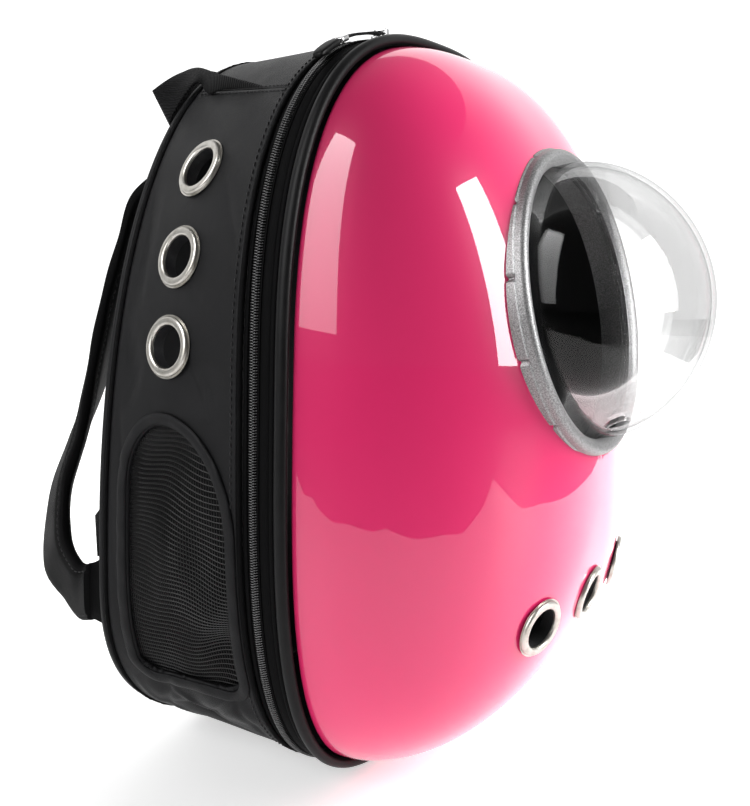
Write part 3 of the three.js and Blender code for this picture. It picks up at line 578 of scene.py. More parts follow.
ring_profile = [
    (bubble_radius + bubble_flange + seam_gap, -12), (shell_hole - seam_gap, -12),
    (shell_hole - seam_gap, -ring_skirt), (ring_radius - 1.2, -ring_skirt),
    *((ring_radius, height) for height in (1.5 - ring_skirt, -4.0, -2.0, 0.5, 3.0, 4.4)),
    (ring_radius - 0.9, 5.0),
    *arc((ring_radius - 4.6, ring_crest - 3.4), 3.5, -5, 125, 12),
    (ring_radius - 8.2, ring_lip + 0.4), (bubble_radius + seam_gap + 0.8, ring_lip - 1.6),
    (bubble_radius + seam_gap, ring_lip - 2.2), (bubble_radius + seam_gap, 5.0),
    (bubble_radius + bubble_flange + seam_gap, 5.0), (bubble_radius + bubble_flange + seam_gap, -4.0),
]
ring = turned(ring_profile, ring_steps, shift=notch)
make_piece("silver_ring", ring, silver_finish, "silver", ["window_ring"], smooth=40)


# Bubble: a clear acrylic dome on a short skirt, with two round vents low on its front. It is seen
# by its reflections and by its edges, where the wall is looked at along its length.
bubble_depth = 64
bubble_round = 1.9
bubble_wall = 2.5
bubble_seat = 12
vent_radius = 6.5
vent_spread = math.radians(24)
vent_share = 0.22
bubble_steps = (240, 70)

clear_finish = Finish("clear_acrylic")
clear_finish.set(Base_Color=(1, 1, 1, 1), Metallic=1.0, Roughness=0.02)
edge = clear_finish.node("LayerWeight", {}, 0.5, output=1)
tint = clear_finish.mix(edge ** 6.0, (0.985, 0.985, 0.985, 1), (0.42, 0.43, 0.43, 1))
sight = clear_finish.node("BsdfTransparent", {}, tint)
glint = clear_finish.node("Fresnel", {}, 1.42)
clear_mix = clear_finish.nodes.new("ShaderNodeMixShader")
clear_finish.plug(clear_mix.inputs[0], glint * 0.36)
clear_finish.links.new(sight.socket, clear_mix.inputs[1])
clear_finish.links.new(clear_finish.shader.outputs[0], clear_mix.inputs[2])
clear_finish.links.new(clear_mix.outputs[0], clear_finish.nodes["Material Output"].inputs[0])


def dome(share):
    """Radius and height of the dome's outside: a superellipse from the skirt, 0, to the tip, 1."""
    angle = share * np.pi / 2
    return (bubble_radius * np.maximum(np.cos(angle), 0) ** (2 / bubble_round),
            bubble_seat + bubble_depth * np.sin(angle) ** (2 / bubble_round))


flange_radius = bubble_radius + bubble_flange
skirt = [(flange_radius, 2.0), (flange_radius, 4.5), (bubble_radius, 4.5)]
profile = skirt + list(zip(*dome(np.linspace(0, 1, bubble_steps[1] + 1)[:-1])))
bubble = close_tip(
    *turned(profile, bubble_steps[0], closed=False), (bubble_steps[0], len(profile)),
    len(profile) - 1, ring_centre + ring_axis * (bubble_seat + bubble_depth),
)
up, beside = cross_axes(ring_axis)
down = up * -np.sign(up[2])
radius, height = dome(2 / np.pi * math.asin(vent_share ** (bubble_round / 2)))
for way in (-1, 1):
    out = down * math.cos(vent_spread) + beside * way * math.sin(vent_spread)
    place = ring_centre + ring_axis * height + out * radius
    steep = (height - bubble_seat) * (bubble_radius / bubble_depth) ** 2
    bubble = cut_round(*bubble, place, unit(out * radius + ring_axis * steep), vent_radius)
make_piece("clear_bubble", drop_loose(*bubble), clear_finish, "clear", ["bubble"],
           wall=bubble_wall, inside=ring_centre)


# Eyelets: stamped nickel rings with a rolled rim, a short barrel through the wall and a washer
# clinched on the inside. Three vent the shell, and three each side of the gusset.
eyelet_rim = 3
eyelet_washer = 1.2
eyelet_crown = 2.6
eyelet_steps = 72
gusset_wall = 2.2

nickel_finish = Finish("bright_nickel")
tarnish = nickel_finish.noise(220.0, 3.0)
tarnished = tarnish.rise(0.45, 0.75)
nickel_finish.set(
    Base_Color=nickel_finish.mix(tarnished, (0.50, 0.485, 0.45, 1), (0.36, 0.34, 0.30, 1)),
    Metallic=1.0, Roughness=tarnish * 0.12 + 0.30,
)
nickel_finish.bump(tarnish, 0.00002)


def add_eyelet(name, place, normal, wall):
    """A rolled rim from an arc, a barrel and a flat washer, turned about the hole's axis."""
    inside = -wall - eyelet_crown
    middle, half = ((eyelet_radius - 0.9 + way * eyelet_hole) / 2 for way in (1, -1))
    roll = [(middle + half * math.copysign(abs(math.cos(a)) ** 0.7, math.cos(a)),
             0.5 + (eyelet_rim - 0.9) * math.sin(a) ** 0.75) for a in np.linspace(0, math.pi, 15)]
    profile = [
        (eyelet_radius, seam_gap), (eyelet_radius, 0.6), *roll, (eyelet_hole, inside - eyelet_washer),
        (eyelet_radius - 2, inside - eyelet_washer), (eyelet_radius - 2, inside),
        (eyelet_barrel, inside), (eyelet_barrel, seam_gap),
    ]
    points, faces = turned(profile, eyelet_steps, place, normal)
    piece = make_piece(name.replace("eyelet", "nickel_eyelet"), (points, faces), nickel_finish,
                       "eyelet", [name], smooth=50)
    # Faces deeper than 0.4 mm, the barrel's inside and the washer, take the dark lining: painted shade
    # inside the hole.
    deep = ((points - place) @ normal)[faces].mean(1) < -0.4
    piece.data.materials.append(lining_and_shade_finish.material)
    piece.data.polygons.foreach_set("material_index", deep.astype(np.int32))


for number, (place, normal) in enumerate(front_eyelets):
    add_eyelet(f"front_eyelet_{number + 1}", place, normal, shell_wall)


# Bands round the bag between shell and gusset: a soft vinyl bead, a flat band of cloth, the
# zipper on its tape, and a piping. A second piping lies between gusset and back.
trim_inset = 1
trim_height = 6
band_inset = 3
band_wall = 2.4
coil_inset = 2
coil_height = 2.6
band_steps = 480
cloth_wrinkle = 0.0005

vinyl_finish = Finish("soft_vinyl")
scuffs = vinyl_finish.noise(90.0, 4.0)
vinyl_finish.set(
    Base_Color=vinyl_finish.mix(scuffs, (0.004, 0.004, 0.0043, 1), (0.009, 0.009, 0.0095, 1)),
    Roughness=scuffs * 0.18 + 0.34, Specular_IOR_Level=0.12,
)
vinyl_finish.bump(vinyl_finish.noise(500.0, 3.0), 0.00006)


def cloth_finish(name, dark, light, pitch, depth, rough, shine):
    """Coated cloth: a plain weave of two crossed ridges in the cloth's own map, faint wrinkles,
    and patches where the coat is smoother."""
    finish = Finish(name)
    along, across = finish.grain()
    rows, columns = along.wave(pitch), across.wave(pitch)
    threads = rows * columns + (1 - rows) * (1 - columns)
    patches = finish.noise(30.0, 3.0)
    creases = finish.noise(55.0, 2.0)
    # The colour mixes random patches, the cloth's own tone, with the weave: lighter on the raised
    # thread crossings and darker between them, painted shade of the weave.
    finish.set(
        Base_Color=finish.mix(patches * 0.7 + threads * 0.3, dark, light),
        Roughness=patches * 0.26 + (rough - 0.06),
        Specular_IOR_Level=shine,
    )
    finish.bump(threads * depth + creases * cloth_wrinkle, 1.0)
    return finish


black_cloth = cloth_finish(
    "coated_cloth", (0.006, 0.006, 0.0066, 1), (0.012, 0.012, 0.0132, 1),
    pitch=0.55, depth=0.00005, rough=0.40, shine=0.11,
)
dull_cloth = cloth_finish(
    "dull_cloth", (0.0025, 0.0025, 0.0027, 1), (0.006, 0.006, 0.0064, 1),
    pitch=0.8, depth=0.00008, rough=0.5, shine=0.025,
)


def loop_band(name, section, finish, slot, clearance, replaces, lumps=None, smooth=180):
    """A closed section of insets and depths carried round the outline. lumps(share) adds to the
    inset. The map runs round the bag and round the section."""
    share = np.arange(band_steps) / band_steps
    outermost = min(inset for inset, _ in section)
    extra = lumps(share) if lumps else 0
    points = []
    for inset, y in section:
        x, z, _, _ = outline(share, y, inset + extra, clearance + inset - outermost)
        points.append(stack(x, y, z))
    chart = stack(share[:, None] * outline_length, run_along(*zip(*section)))
    faces = grid(band_steps, len(section), join_rows=True, join_columns=True)
    sheet = np.stack(points, 1).reshape(-1, 3), faces, chart
    make_piece(name, sheet, finish, slot, replaces, smooth=smooth)


def oval(inset, y, half_height, half_width, sides):
    """Insets and depths round an oval."""
    angle = (np.arange(sides) + 0.5) * 2 * np.pi / sides
    return list(zip(inset + half_height * np.cos(angle), y + half_width * np.sin(angle)))


trim_middle = (trim_front + trim_back) / 2
trim_section = oval(trim_inset + trim_height / 2, trim_middle, trim_height / 2, trim_width / 2, 20)
loop_band("vinyl_bead", trim_section, vinyl_finish, "vinyl", seam_gap, ["shell_trim"])
ridge = band_width * 0.3
band_section = [
    (band_inset + band_wall, band_front), (band_inset + 0.8, band_front),
    (band_inset + 0.1, band_front + 0.8), (band_inset, band_front + ridge * 0.6),
    (band_inset + 0.3, band_front + ridge), (band_inset + 0.9, band_front + ridge + 0.5),
    (band_inset + 0.5, band_front + ridge + 1.0), (band_inset + 0.3, band_back - 1.6),
    (band_inset + 0.5, band_back - 0.4), (band_inset + 0.9, band_back),
    (band_inset + band_wall, band_back),
]
loop_band("cloth_band", band_section, dull_cloth, "cloth", 0, ["front_band"], smooth=60)
tape_section = [
    (band_inset + band_wall, tape_front), (band_inset + 0.8, tape_front),
    (band_inset + 0.3, tape_front + 0.5), (band_inset + 0.3, tape_back - 0.5),
    (band_inset + 0.8, tape_back), (band_inset + band_wall, tape_back),
]
loop_band("zipper_tape_band", tape_section, dull_cloth, "cloth", 0, ["zipper_tape"], smooth=60)


def pucker(share):
    """Faint gathers that sewing leaves in a piping."""
    return 0.12 * np.sin(share * 2 * np.pi * 190) + 0.08 * np.sin(share * 2 * np.pi * 83 + 1)


for end, y in (("front", front_piping_y), ("back", back_piping_y)):
    loop_band(f"{end}_welt", oval(band_inset, y, piping_radius, piping_radius, 12), dull_cloth,
              "cloth", seam_gap, [f"{end}_piping"], pucker)


# Zipper coil: nylon loops sewn to a tape, closed, seen as two rows of small ribs that meet in the
# middle like a braid.
coil_pitch = 0.7
coil_rib = 0.43
rib_lean = 0.35
coil_finish = Finish("coil_nylon")
coil_finish.mottle(
    700.0, (0.006, 0.006, 0.0065, 1), (0.016, 0.016, 0.017, 1), Roughness=0.22, Specular_IOR_Level=0.7,
)
coil_bed = [
    (coil_inset + coil_height, coil_front), (coil_inset + 1.7, coil_front + 0.2),
    (coil_inset + 1.5, coil_middle), (coil_inset + 1.7, coil_back - 0.2),
    (coil_inset + coil_height, coil_back),
]
loop_band("zipper_bed", coil_bed, dull_cloth, "cloth", seam_gap, ["zipper_coil"], smooth=60)


def coil_ribs():
    """Each rib is a short closed tube of six sides that arches from the middle line to one side.
    The ribs take the two sides in turn; all are worked out in one array."""
    count = int(outline_length / coil_pitch)
    share = (np.arange(count) + 0.5) / count
    way = np.where(np.arange(count) % 2, 1.0, -1.0)
    stations = np.linspace(0, 1, 5)
    reach = -0.25 + stations * (coil_width / 2 - 0.75)
    lift = 1.25 * np.sin(np.pi * (0.22 + 0.72 * stations)) ** 0.7
    size = coil_rib * np.array([0.45, 1, 1, 0.95, 0.4])
    spin = np.arange(6) * np.pi / 3
    x, z, out_x, out_z = outline(share, coil_middle, coil_inset + 1.7)
    out, run = stack(out_x, 0, out_z)[:, None], stack(out_z, 0, -out_x)[:, None]
    middle = stack(x[:, None], coil_middle + way[:, None] * reach, z[:, None])
    middle = middle + lift[:, None] * out + rib_lean * stations[:, None] * run
    points = (middle[:, :, None] + (size[:, None] * np.cos(spin))[..., None] * run[:, None]
              + (size[:, None] * np.sin(spin))[..., None] * 1.4 * out[:, None])
    points[..., 2] = np.maximum(points[..., 2], seam_gap)
    return join_tubes(points)


def join_tubes(points):
    """Faces for many tubes given as an array of tube, station, side: walls and flat end caps. The
    first tube sets the way they are wound, and the second that of every other tube."""
    tubes, stations, sides = points.shape[:3]
    walls = grid(stations, sides, join_columns=True)
    fan = stack(0, np.arange(1, sides - 1), np.arange(2, sides), np.arange(2, sides))
    one = np.vstack([walls, fan, fan[:, ::-1] + (stations - 1) * sides])
    one = outward(points[0].reshape(-1, 3), one)
    faces = np.zeros((tubes, 1, 1), int) + one
    faces[1::2] = outward(points[1].reshape(-1, 3), one)
    faces += (np.arange(tubes) * stations * sides)[:, None, None]
    return points.reshape(-1, 3), faces.reshape(-1, 4)


make_piece("zipper_ribs", coil_ribs(), coil_finish, "vinyl")


# Gusset: coated cloth with soft creases, sewn between the pipings. The side panels hold three
# eyelets and an arched window; shoulder seams join them to the top, hidden seams to the bottom.
gusset_inset = 2.5
bottom_seam = 0.095
shoulder_front = 0.407
shoulder_back = 0.434
fold_depth = 3
folds = [
    (0.545, 0.30, 0.20, 0.28, 0.8), (0.560, 0.88, 0.30, 0.16, 0.6), (0.700, 0.92, 0.55, 0.14, 0.5),
    (0.115, 0.25, 0.16, 0.30, -1.0), (0.085, 0.55, 0.12, 0.22, 0.9), (0.110, 0.80, 0.16, 0.22, -0.9),
]
creases = [
    (318, -30, 0.5, 22, 3.2, 0.8), (196, 38, 0.15, 26, 2.6, 0.8), (40, -34, 0.2, 16, 2.4, 1.2),
    (272, -18, 0.9, 14, 2.4, 0.4), (236, -14, 0.5, 20, 2.6, 0.6),
    (226, 30, -0.4, 14, 2.6, 0.5), (224, -26, 0.3, 14, 2.2, -0.4), (50, -20, -0.9, 20, 2.6, 1.9),
    (42, 2, 0.8, 18, 2.4, -1.6), (46, 22, -0.6, 16, 2.4, 1.8), (30, -8, 1.2, 26, 3.0, 1.7),
    (36, 30, 0.5, 16, 2.6, -1.5), (118, 40, 0.1, 40, 2.2, 0.6), (300, 36, 0.2, 30, 2.8, 0.5),
]
side_steps = (300, 68)


def fold_inset(y, z):
    """How far dents and creases take the cloth in at a place: broad folds are (1 - r^2)^2, and a
    crease is a slim bell across its line and a wide one along it."""
    along = (y - gusset_front) / gusset_depth
    total = np.zeros_like(z)
    for up, middle, tall, wide, depth in folds:
        far = ((z - up * bag_height) / (tall * gusset_depth)) ** 2 + ((along - middle) / wide) ** 2
        total = total + depth * fold_depth * np.maximum(1 - far, 0) ** 2
    for height, depth_y, slope, length, width, depth in creases:
        run = (z - height) * math.cos(slope) + (y - depth_y) * math.sin(slope)
        away = (y - depth_y) * math.cos(slope) - (z - height) * math.sin(slope)
        total = total + depth * np.exp(-((run / length) ** 2) - (away / width) ** 2)
    edge = np.minimum(1, np.minimum(y - gusset_front, gusset_back - y) / 6)
    return total * np.clip(edge, 0, 1)


def gusset_place(share, y):
    """A row of gusset places at one depth, with dents on the sides only."""
    x, z, _, _ = outline(share, y, gusset_inset)
    side = np.clip((np.abs(x) - top_half * 0.45) / 12, 0, 1)
    x, z, _, _ = outline(share, y, gusset_inset + side * fold_inset(y, z))
    return stack(x, y, z)


def gusset_sheet(start, end, steps):
    """Points from one seam to another: start and end give each depth's share of the way round."""
    depths = np.linspace(gusset_front, gusset_back, steps[1])
    points, chart = [], []
    for y in depths:
        share = np.linspace(start(y), end(y), steps[0])
        points.append(gusset_place(share, y))
        chart.append(stack(share * outline_length, y))
    return np.stack(points, 1).reshape(-1, 3), grid(*steps), np.stack(chart, 1).reshape(-1, 2)


half_seam = seam_gap / 2 / outline_length


def shoulder(y):
    """Share of the way round at the shoulder seam."""
    return shoulder_front + (shoulder_back - shoulder_front) * (y - gusset_front) / gusset_depth


window_bottom = 64
window_top = 208
window_arch_back = 34
window_arch_front = 58
window_apex = 8
window_half = 34
window_middle = -3.6
window_corner = 10


def window_path(steps, margin=0.0):
    """Depths and heights evenly round a window's edge: a flat foot with round corners, two
    uprights, and an arch of two quarter ellipses that meet at the apex."""
    half, foot, corner = window_half + margin, window_bottom - margin, window_corner + margin
    quarters = (
        (half - corner, foot + corner, corner, corner),
        (window_apex, window_top - window_arch_back, half - window_apex, window_arch_back + margin),
        (window_apex, window_top - window_arch_front, half + window_apex, window_arch_front + margin),
        (corner - half, foot + corner, corner, corner),
    )
    y, z = [], []
    for number, (middle_y, middle_z, wide, tall) in enumerate(quarters):
        angle = np.linspace(number - 1, number, 60) * np.pi / 2
        y.extend(middle_y + wide * np.cos(angle))
        z.extend(middle_z + tall * np.sin(angle))
    y, z = y + y[:1], z + z[:1]
    far = run_along(y, z)
    even = np.linspace(0, far[-1], steps, endpoint=False)
    return window_middle + np.interp(even, far, y), np.interp(even, far, z), even


def window_reach(y, z):
    """Above 1 outside a window's edge, below 1 inside."""
    side = y - window_middle
    behind = side > window_apex
    arch = np.where(behind, window_arch_back, window_arch_front)
    spring = window_top - arch
    span = np.where(behind, window_half - window_apex, window_half + window_apex)
    head = ((side - window_apex) / span) ** 2 + (np.maximum(z - spring, 0) / arch) ** 2
    upright = np.abs(side) / window_half
    foot = (window_bottom + window_corner * 2 - z) / (window_corner * 2)
    base = np.maximum(foot, 0) ** 4 + upright ** 4
    return np.where(z > spring, head, np.maximum(upright, base))


def cut_window(points, faces):
    """Drops the faces inside the window and moves the points on its border to its edge."""
    edge_y, edge_z, _ = window_path(1600)
    inside = (window_reach(points[:, 1], points[:, 2]) < 1) & (np.abs(points[:, 0]) > top_half * 0.7)
    hit = inside[faces].sum(1) >= 2
    border = np.intersect1d(np.unique(faces[~hit]), np.unique(faces[hit]))
    near = np.argmin(
        (points[border, 1, None] - edge_y) ** 2 + (points[border, 2, None] - edge_z) ** 2, axis=1,
    )
    points = points.copy()
    points[border, 1:] = stack(edge_y[near], edge_z[near])
    return points, faces[~hit]


side_depths = np.linspace(gusset_front, gusset_back, 46)
side_heights = np.linspace(24, 396, 373)
side_rows = [gusset_place(np.linspace(bottom_seam, shoulder_back, 500), y) for y in side_depths]
side_table = np.array([np.interp(side_heights, row[:, 2], row[:, 0]) for row in side_rows])


def side_depth(y, z):
    """X and outward direction of the left side at depths and heights, between table entries."""
    pitch = side_depths[1] - side_depths[0]
    row = np.clip((y - side_depths[0]) / pitch, 0, len(side_depths) - 1.001)
    column = np.clip(z - side_heights[0], 0, len(side_heights) - 1.001)
    r, c = row.astype(int), column.astype(int)
    fr, fc = row - r, column - c
    low, high = (side_table[r, k] * (1 - fr) + side_table[r + 1, k] * fr for k in (c, c + 1))
    slope = (side_table[r + 1, c] - side_table[r, c]) / pitch
    return low * (1 - fc) + high * fc, unit(stack(-1, slope, high - low))


side_eyelet_top = 341
side_eyelet_pitch = 46
side_eyelet_y = 3
side_eyelets = []
for number in range(3):
    height = side_eyelet_top - number * side_eyelet_pitch
    x, normal = side_depth(np.array(side_eyelet_y), np.array(height))
    side_eyelets.append((stack(x, side_eyelet_y, height), normal))
side_points, side_faces, side_chart = gusset_sheet(
    lambda y: bottom_seam + half_seam, lambda y: shoulder(y) - half_seam, side_steps,
)
side_cloth = cut_window(side_points, side_faces)
for place, normal in side_eyelets:
    side_cloth = cut_round(*side_cloth, place, normal, eyelet_barrel + seam_gap)
flip = np.array([-1, 1, 1])
sides = (("left", np.ones(3)), ("right", flip))


def make_pair(name, sheet, finish, slot, replaces=(), **more):
    """The same piece on the bag's left and, mirrored, on its right."""
    for side, mirror in sides:
        make_piece(f"{name}_{side}", (sheet[0] * mirror, *sheet[1:]), finish, slot,
                   [f"{node}_{side}" for node in replaces], **more)


make_pair("side_cloth", drop_loose(*side_cloth, side_chart), black_cloth, "cloth", ["side_panel"],
          wall=gusset_wall, inside=cabin_middle)
for number, (place, normal) in enumerate(side_eyelets):
    for side, mirror in sides:
        add_eyelet(f"side_eyelet_{side}_{number + 1}", place * mirror, normal * mirror, gusset_wall)
for name, start, end, steps in (
    ("top", lambda y: shoulder(y) + half_seam, lambda y: 1 - shoulder(y) - half_seam, (120, 46)),
    ("bottom", lambda y: half_seam - bottom_seam, lambda y: bottom_seam - half_seam, (120, 40)),
):
    make_piece(f"{name}_cloth", gusset_sheet(start, end, steps), black_cloth, "cloth",
               [f"{name}_panel"], wall=gusset_wall, inside=cabin_middle)


# Topstitching: a row of thread along the gusset's front edge, up the sides and over the top, and two
# rows beside each shoulder seam.
stitch_length = 3.0
stitch_pitch = 3.9
stitch_half = 0.34

thread_finish = Finish("sewing_thread")
thread_finish.mottle(
    900.0, (0.010, 0.010, 0.0105, 1), (0.026, 0.026, 0.027, 1), Roughness=0.5, Specular_IOR_Level=0.3,
)


def stitch_tubes(path, normals):
    """Stitches along a path: closed tubes of five sides, thin at both ends, whose middle stands up
    and whose ends dive into the cloth. The lift is 0.32 - 0.5 t^4 for t from -1 to 1."""
    far = run_along(*path.T)
    starts = np.arange(stitch_pitch / 2, far[-1] - stitch_length / 2, stitch_pitch)
    t = np.linspace(-1, 1, 5)
    at = starts[:, None] + t * stitch_length / 2
    middle, out = (stack(*(np.interp(at, far, v) for v in rows.T)) for rows in (path, normals))
    beside = np.cross(out, unit(middle[:, -1:] - middle[:, :1]))
    middle = middle + out * (0.32 - 0.5 * t ** 4)[None, :, None]
    size = stitch_half * np.sqrt(1.05 - t ** 2)[None, :, None, None]
    spin = (np.arange(5) * 2 * np.pi / 5)[None, None, :, None]
    ring = np.cos(spin) * beside[:, :, None] + np.sin(spin) * out[:, :, None]
    return join_tubes(middle[:, :, None] + size * ring)


def gusset_seam(shares, depths):
    """A path on the gusset and its outward directions."""
    places = [gusset_place(share, y) for share, y in zip(shares, depths)]
    sheer = [outline(share, y, gusset_inset) for share, y in zip(shares, depths)]
    return np.array(places), np.array([(out_x, 0, out_z) for _, _, out_x, out_z in sheer])


def join_closed(parts):
    """Several closed parts in one set of points and faces."""
    offsets = np.cumsum([0] + [len(points) for points, *_ in parts])
    return (np.vstack([points for points, *_ in parts]),
            np.vstack([faces + offset for (_, faces, *_), offset in zip(parts, offsets)]))


edge_shares = np.linspace(bottom_seam, 1 - bottom_seam, 500)
rows_of_thread = [stitch_tubes(*gusset_seam(edge_shares, np.full(500, gusset_front + 3.4)))]
seam_depths = np.linspace(gusset_front + 4, gusset_back - 2, 60)
for way in (-2.2, 2.2):
    left_shares = shoulder(seam_depths) + way / outline_length
    for shares in (left_shares, 1 - left_shares):
        rows_of_thread.append(stitch_tubes(*gusset_seam(shares, seam_depths)))
make_piece("gusset_thread", join_closed(rows_of_thread), thread_finish, "cloth")


# Window bindings: a strip of cloth folded round each window's edge, with rolled edges and slight
# gathers from the sewing.
binding_width = 7
binding_wall = 1.6
binding_steps = 420


def binding_sheet():
    """A flat loop with rolled edges: each row lies a little further from the window's edge."""
    outer_y, outer_z, run = window_path(binding_steps, binding_width)
    inner_y, inner_z, _ = window_path(binding_steps, 0.5)
    across = np.array([0, 0.06, 0.2, 0.45, 0.7, 0.9, 1.0, 1.0, 0.5, 0])
    lift = np.array([0.3, 0.9, 1.3, 1.6, 1.55, 1.2, 0.5, 0.0, 0.0, 0.0])
    gap = (outer_y[:, None] - inner_y) ** 2 + (outer_z[:, None] - inner_z) ** 2
    shift = np.argmin(gap, axis=1)
    shift = np.where(shift < shift[0], shift + binding_steps, shift)
    shift = np.maximum.accumulate(shift) % binding_steps
    y = outer_y[:, None] + (inner_y[shift] - outer_y)[:, None] * (1 - across)
    z = outer_z[:, None] + (inner_z[shift] - outer_z)[:, None] * (1 - across)
    y = np.clip(y, gusset_front + 0.2, gusset_back - 0.2)
    x, normal = side_depth(y, z)
    gather = 0.18 * np.sin(run / 3.1)[:, None] * (lift > 0.9)
    height = seam_gap + lift * binding_wall / 1.6 + gather
    points = stack(x, y, z) + normal * height[..., None]
    faces = grid(binding_steps, len(across), join_rows=True, join_columns=True)
    return points.reshape(-1, 3), faces, stack(run[:, None], across * binding_width)


make_pair("bound_edge", binding_sheet(), black_cloth, "cloth", ["window_binding"])


# Mesh windows: net of stout rows and finer columns, pushed out from inside and drawn askew
# towards the front, so that its rows dip in waves.
mesh_lap = 5
mesh_bulge = 4
mesh_sag = 13
row_pitch = 2.7
column_pitch = 1.55
row_half = 0.46
column_half = 0.30

net_finish = Finish("net_thread")
net_finish.mottle(
    400.0, (0.003, 0.003, 0.003, 1), (0.010, 0.010, 0.0103, 1), Roughness=0.3, Specular_IOR_Level=0.32,
)


def net_place(y, z, lift):
    """Places on the net: rows sag towards the front by a bell in height, the sheet swells out by
    (1 - y^2)(1 - z^4) and ripples along slanting lines."""
    ahead = np.clip((4 - y) / 40, 0, 1)
    ahead = ahead * ahead * (3 - 2 * ahead)
    bell = np.exp(-(((z - 150) / 46) ** 2)) - 0.7 * np.exp(-(((z - 84) / 22) ** 2))
    z_there = z - mesh_sag * ahead * bell + 0.9 * np.sin(y / 7 + z / 13)
    z_there = np.clip(z_there, window_bottom - mesh_lap, window_top + 3)
    across = (y - window_middle) / (window_half - 2)
    up = (z - (window_bottom + window_top) / 2) / ((window_top - window_bottom) / 2 - 3)
    swell = np.maximum(1 - across ** 2, 0) * np.maximum(1 - up ** 4, 0)
    ripple = 0.9 * np.sin(y / 5.5 + z / 17) + 1.0 * np.sin(y / 9 - z / 24 + 1)
    x, normal = side_depth(y, z_there)
    inward = gusset_wall + seam_gap + 0.5
    out = swell * (mesh_bulge + ripple) - inward + lift
    return stack(x, y, z_there) + normal * out[..., None], normal


def thread_tubes(y, z, half, lift):
    """Four-sided threads, one for each row of y and z, through places on the net."""
    middle, normal = net_place(y, z, lift)
    beside = np.cross(normal, unit(np.gradient(middle, axis=1)))
    corners = (beside, normal, -beside, -normal)
    return join_tubes(np.stack([middle + half * corner for corner in corners], 2))


edge_y, edge_z, _ = window_path(1600, mesh_lap - 0.6)
net_foot = window_bottom - mesh_lap + 1
row_z, row_ends = [], []
for z in np.arange(net_foot, window_top + mesh_lap, row_pitch):
    there = edge_y[np.abs(edge_z - z) < 2]
    if len(there) and np.ptp(there) > 6:
        row_z.append(z)
        row_ends.append((there.min(), there.max()))
row_y = np.linspace(*np.array(row_ends).T, 56, axis=1)
column_y = np.arange(window_middle - window_half - 3, window_middle + window_half + 3, column_pitch)
column_top = np.array([edge_z[np.abs(edge_y - y) < 1.5].max() for y in column_y])
column_z = np.linspace(np.full_like(column_top, net_foot), column_top, 76, axis=1)
net = join_closed([
    thread_tubes(*np.broadcast_arrays(row_y, np.array(row_z)[:, None]), row_half, 0.0),
    thread_tubes(*np.broadcast_arrays(column_y[:, None], column_z), column_half, 0.12),
])
make_pair("net", net, net_finish, "net", ["mesh_window"])


# Back: a padded panel in the same cloth, crowned towards the wearer, with a seam round its pad and
# two sewn channels down it.
pad_thickness = 13
pad_edge = 5
back_steps = (360, 46)
back_middle = bag_height / 2


def back_sheet():
    """Loops that shrink from the outline to the middle. The face rises from the edge to the pad by
    1 - reach^4, dips at a seam near the edge and at two upright channels."""
    share = np.arange(back_steps[0]) / back_steps[0]
    reach = np.linspace(0, 1, back_steps[1] + 1)[1:] ** 0.8
    edge_x, edge_z, _, _ = outline(share, back_front, gusset_inset)
    x = edge_x[:, None] * reach
    z = back_middle + (edge_z[:, None] - back_middle) * reach
    face = back_front + pad_thickness + (pad_edge - pad_thickness) * reach ** 4
    seam = 1.6 * np.exp(-(((reach - 0.86) / 0.012) ** 2))
    channel = 2.2 * np.exp(-(((np.abs(x) - 48) / 3.0) ** 2)) * np.clip((0.84 - reach) / 0.03, 0, 1)
    y = face - seam - channel - np.clip((reach - 0.985) / 0.015, 0, 1) ** 2 * 1.5
    points = np.concatenate([stack(x, y, z), stack(x, back_front, z)[:, ::-1]], 1)
    steps = points.shape[:2]
    back = points.reshape(-1, 3), grid(*steps, join_rows=True)
    for column, y_there in ((0, back_front + pad_thickness), (steps[1] - 1, back_front)):
        back = close_tip(*back, steps, column, (0, y_there, back_middle))
    return *back, back[0][:, ::2]


back_pad = make_piece("back_pad", back_sheet(), black_cloth, "cloth", ["back_panel"])


# Zipper slider and pull: a small cast slider that rides on the coil, a strip of cloth through its
# bridge, a silver crimp and a rubber grip.
slider_out = 28
slider_length = 11
slider_width = 9
slider_base = 2
bridge_length = 4
bridge_height = 3.4
bridge_wall = 1.3
pull_width = 5.4
pull_thickness = 1.4
pull_length = 40
crimp_length = 6
grip_length = 20
grip_width = 8
grip_thickness = 3.6
slider_top = seam_gap + slider_base
bridge_top = slider_top + bridge_height
pull_low = slider_top + seam_gap
pull_middle = pull_low + pull_thickness / 2

steel_finish = Finish("cast_silver")
steel_finish.mottle(
    600.0, (0.62, 0.62, 0.63, 1), (0.78, 0.78, 0.78, 1), Metallic=1.0, Roughness=0.24,
)


def track_pillow(start, length, width, low, high, roundness=5.0, steps=(40, 24)):
    """A rounded block along the zipper: a superellipsoid in the run, the width and the height."""
    v = np.linspace(0, 1, steps[0])[:, None]
    spin = np.arange(steps[1])[None, :] * 2 * np.pi / steps[1]
    tall = np.cos(v * np.pi)
    ring = np.abs(np.sin(v * np.pi)) ** (2 / roundness)
    run = np.sign(tall) * np.abs(tall) ** (2 / roundness)
    c, s = np.cos(spin), np.sin(spin)
    wide = ring * np.sign(c) * np.abs(c) ** (2 / roundness)
    deep = ring * np.sign(s) * np.abs(s) ** (2 / roundness)
    share = 0.5 - (start + length * (run + 1) / 2) / outline_length
    height = (low + high) / 2 + (high - low) / 2 * deep
    share = np.broadcast_to(share, height.shape)
    x, z, out_x, out_z = outline(share, coil_middle, coil_inset)
    points = stack(x + out_x * height, coil_middle + wide * width / 2, z + out_z * height)
    chart = stack(share * -outline_length, wide * width / 2 + deep)
    return points.reshape(-1, 3), grid(*steps, join_columns=True), chart


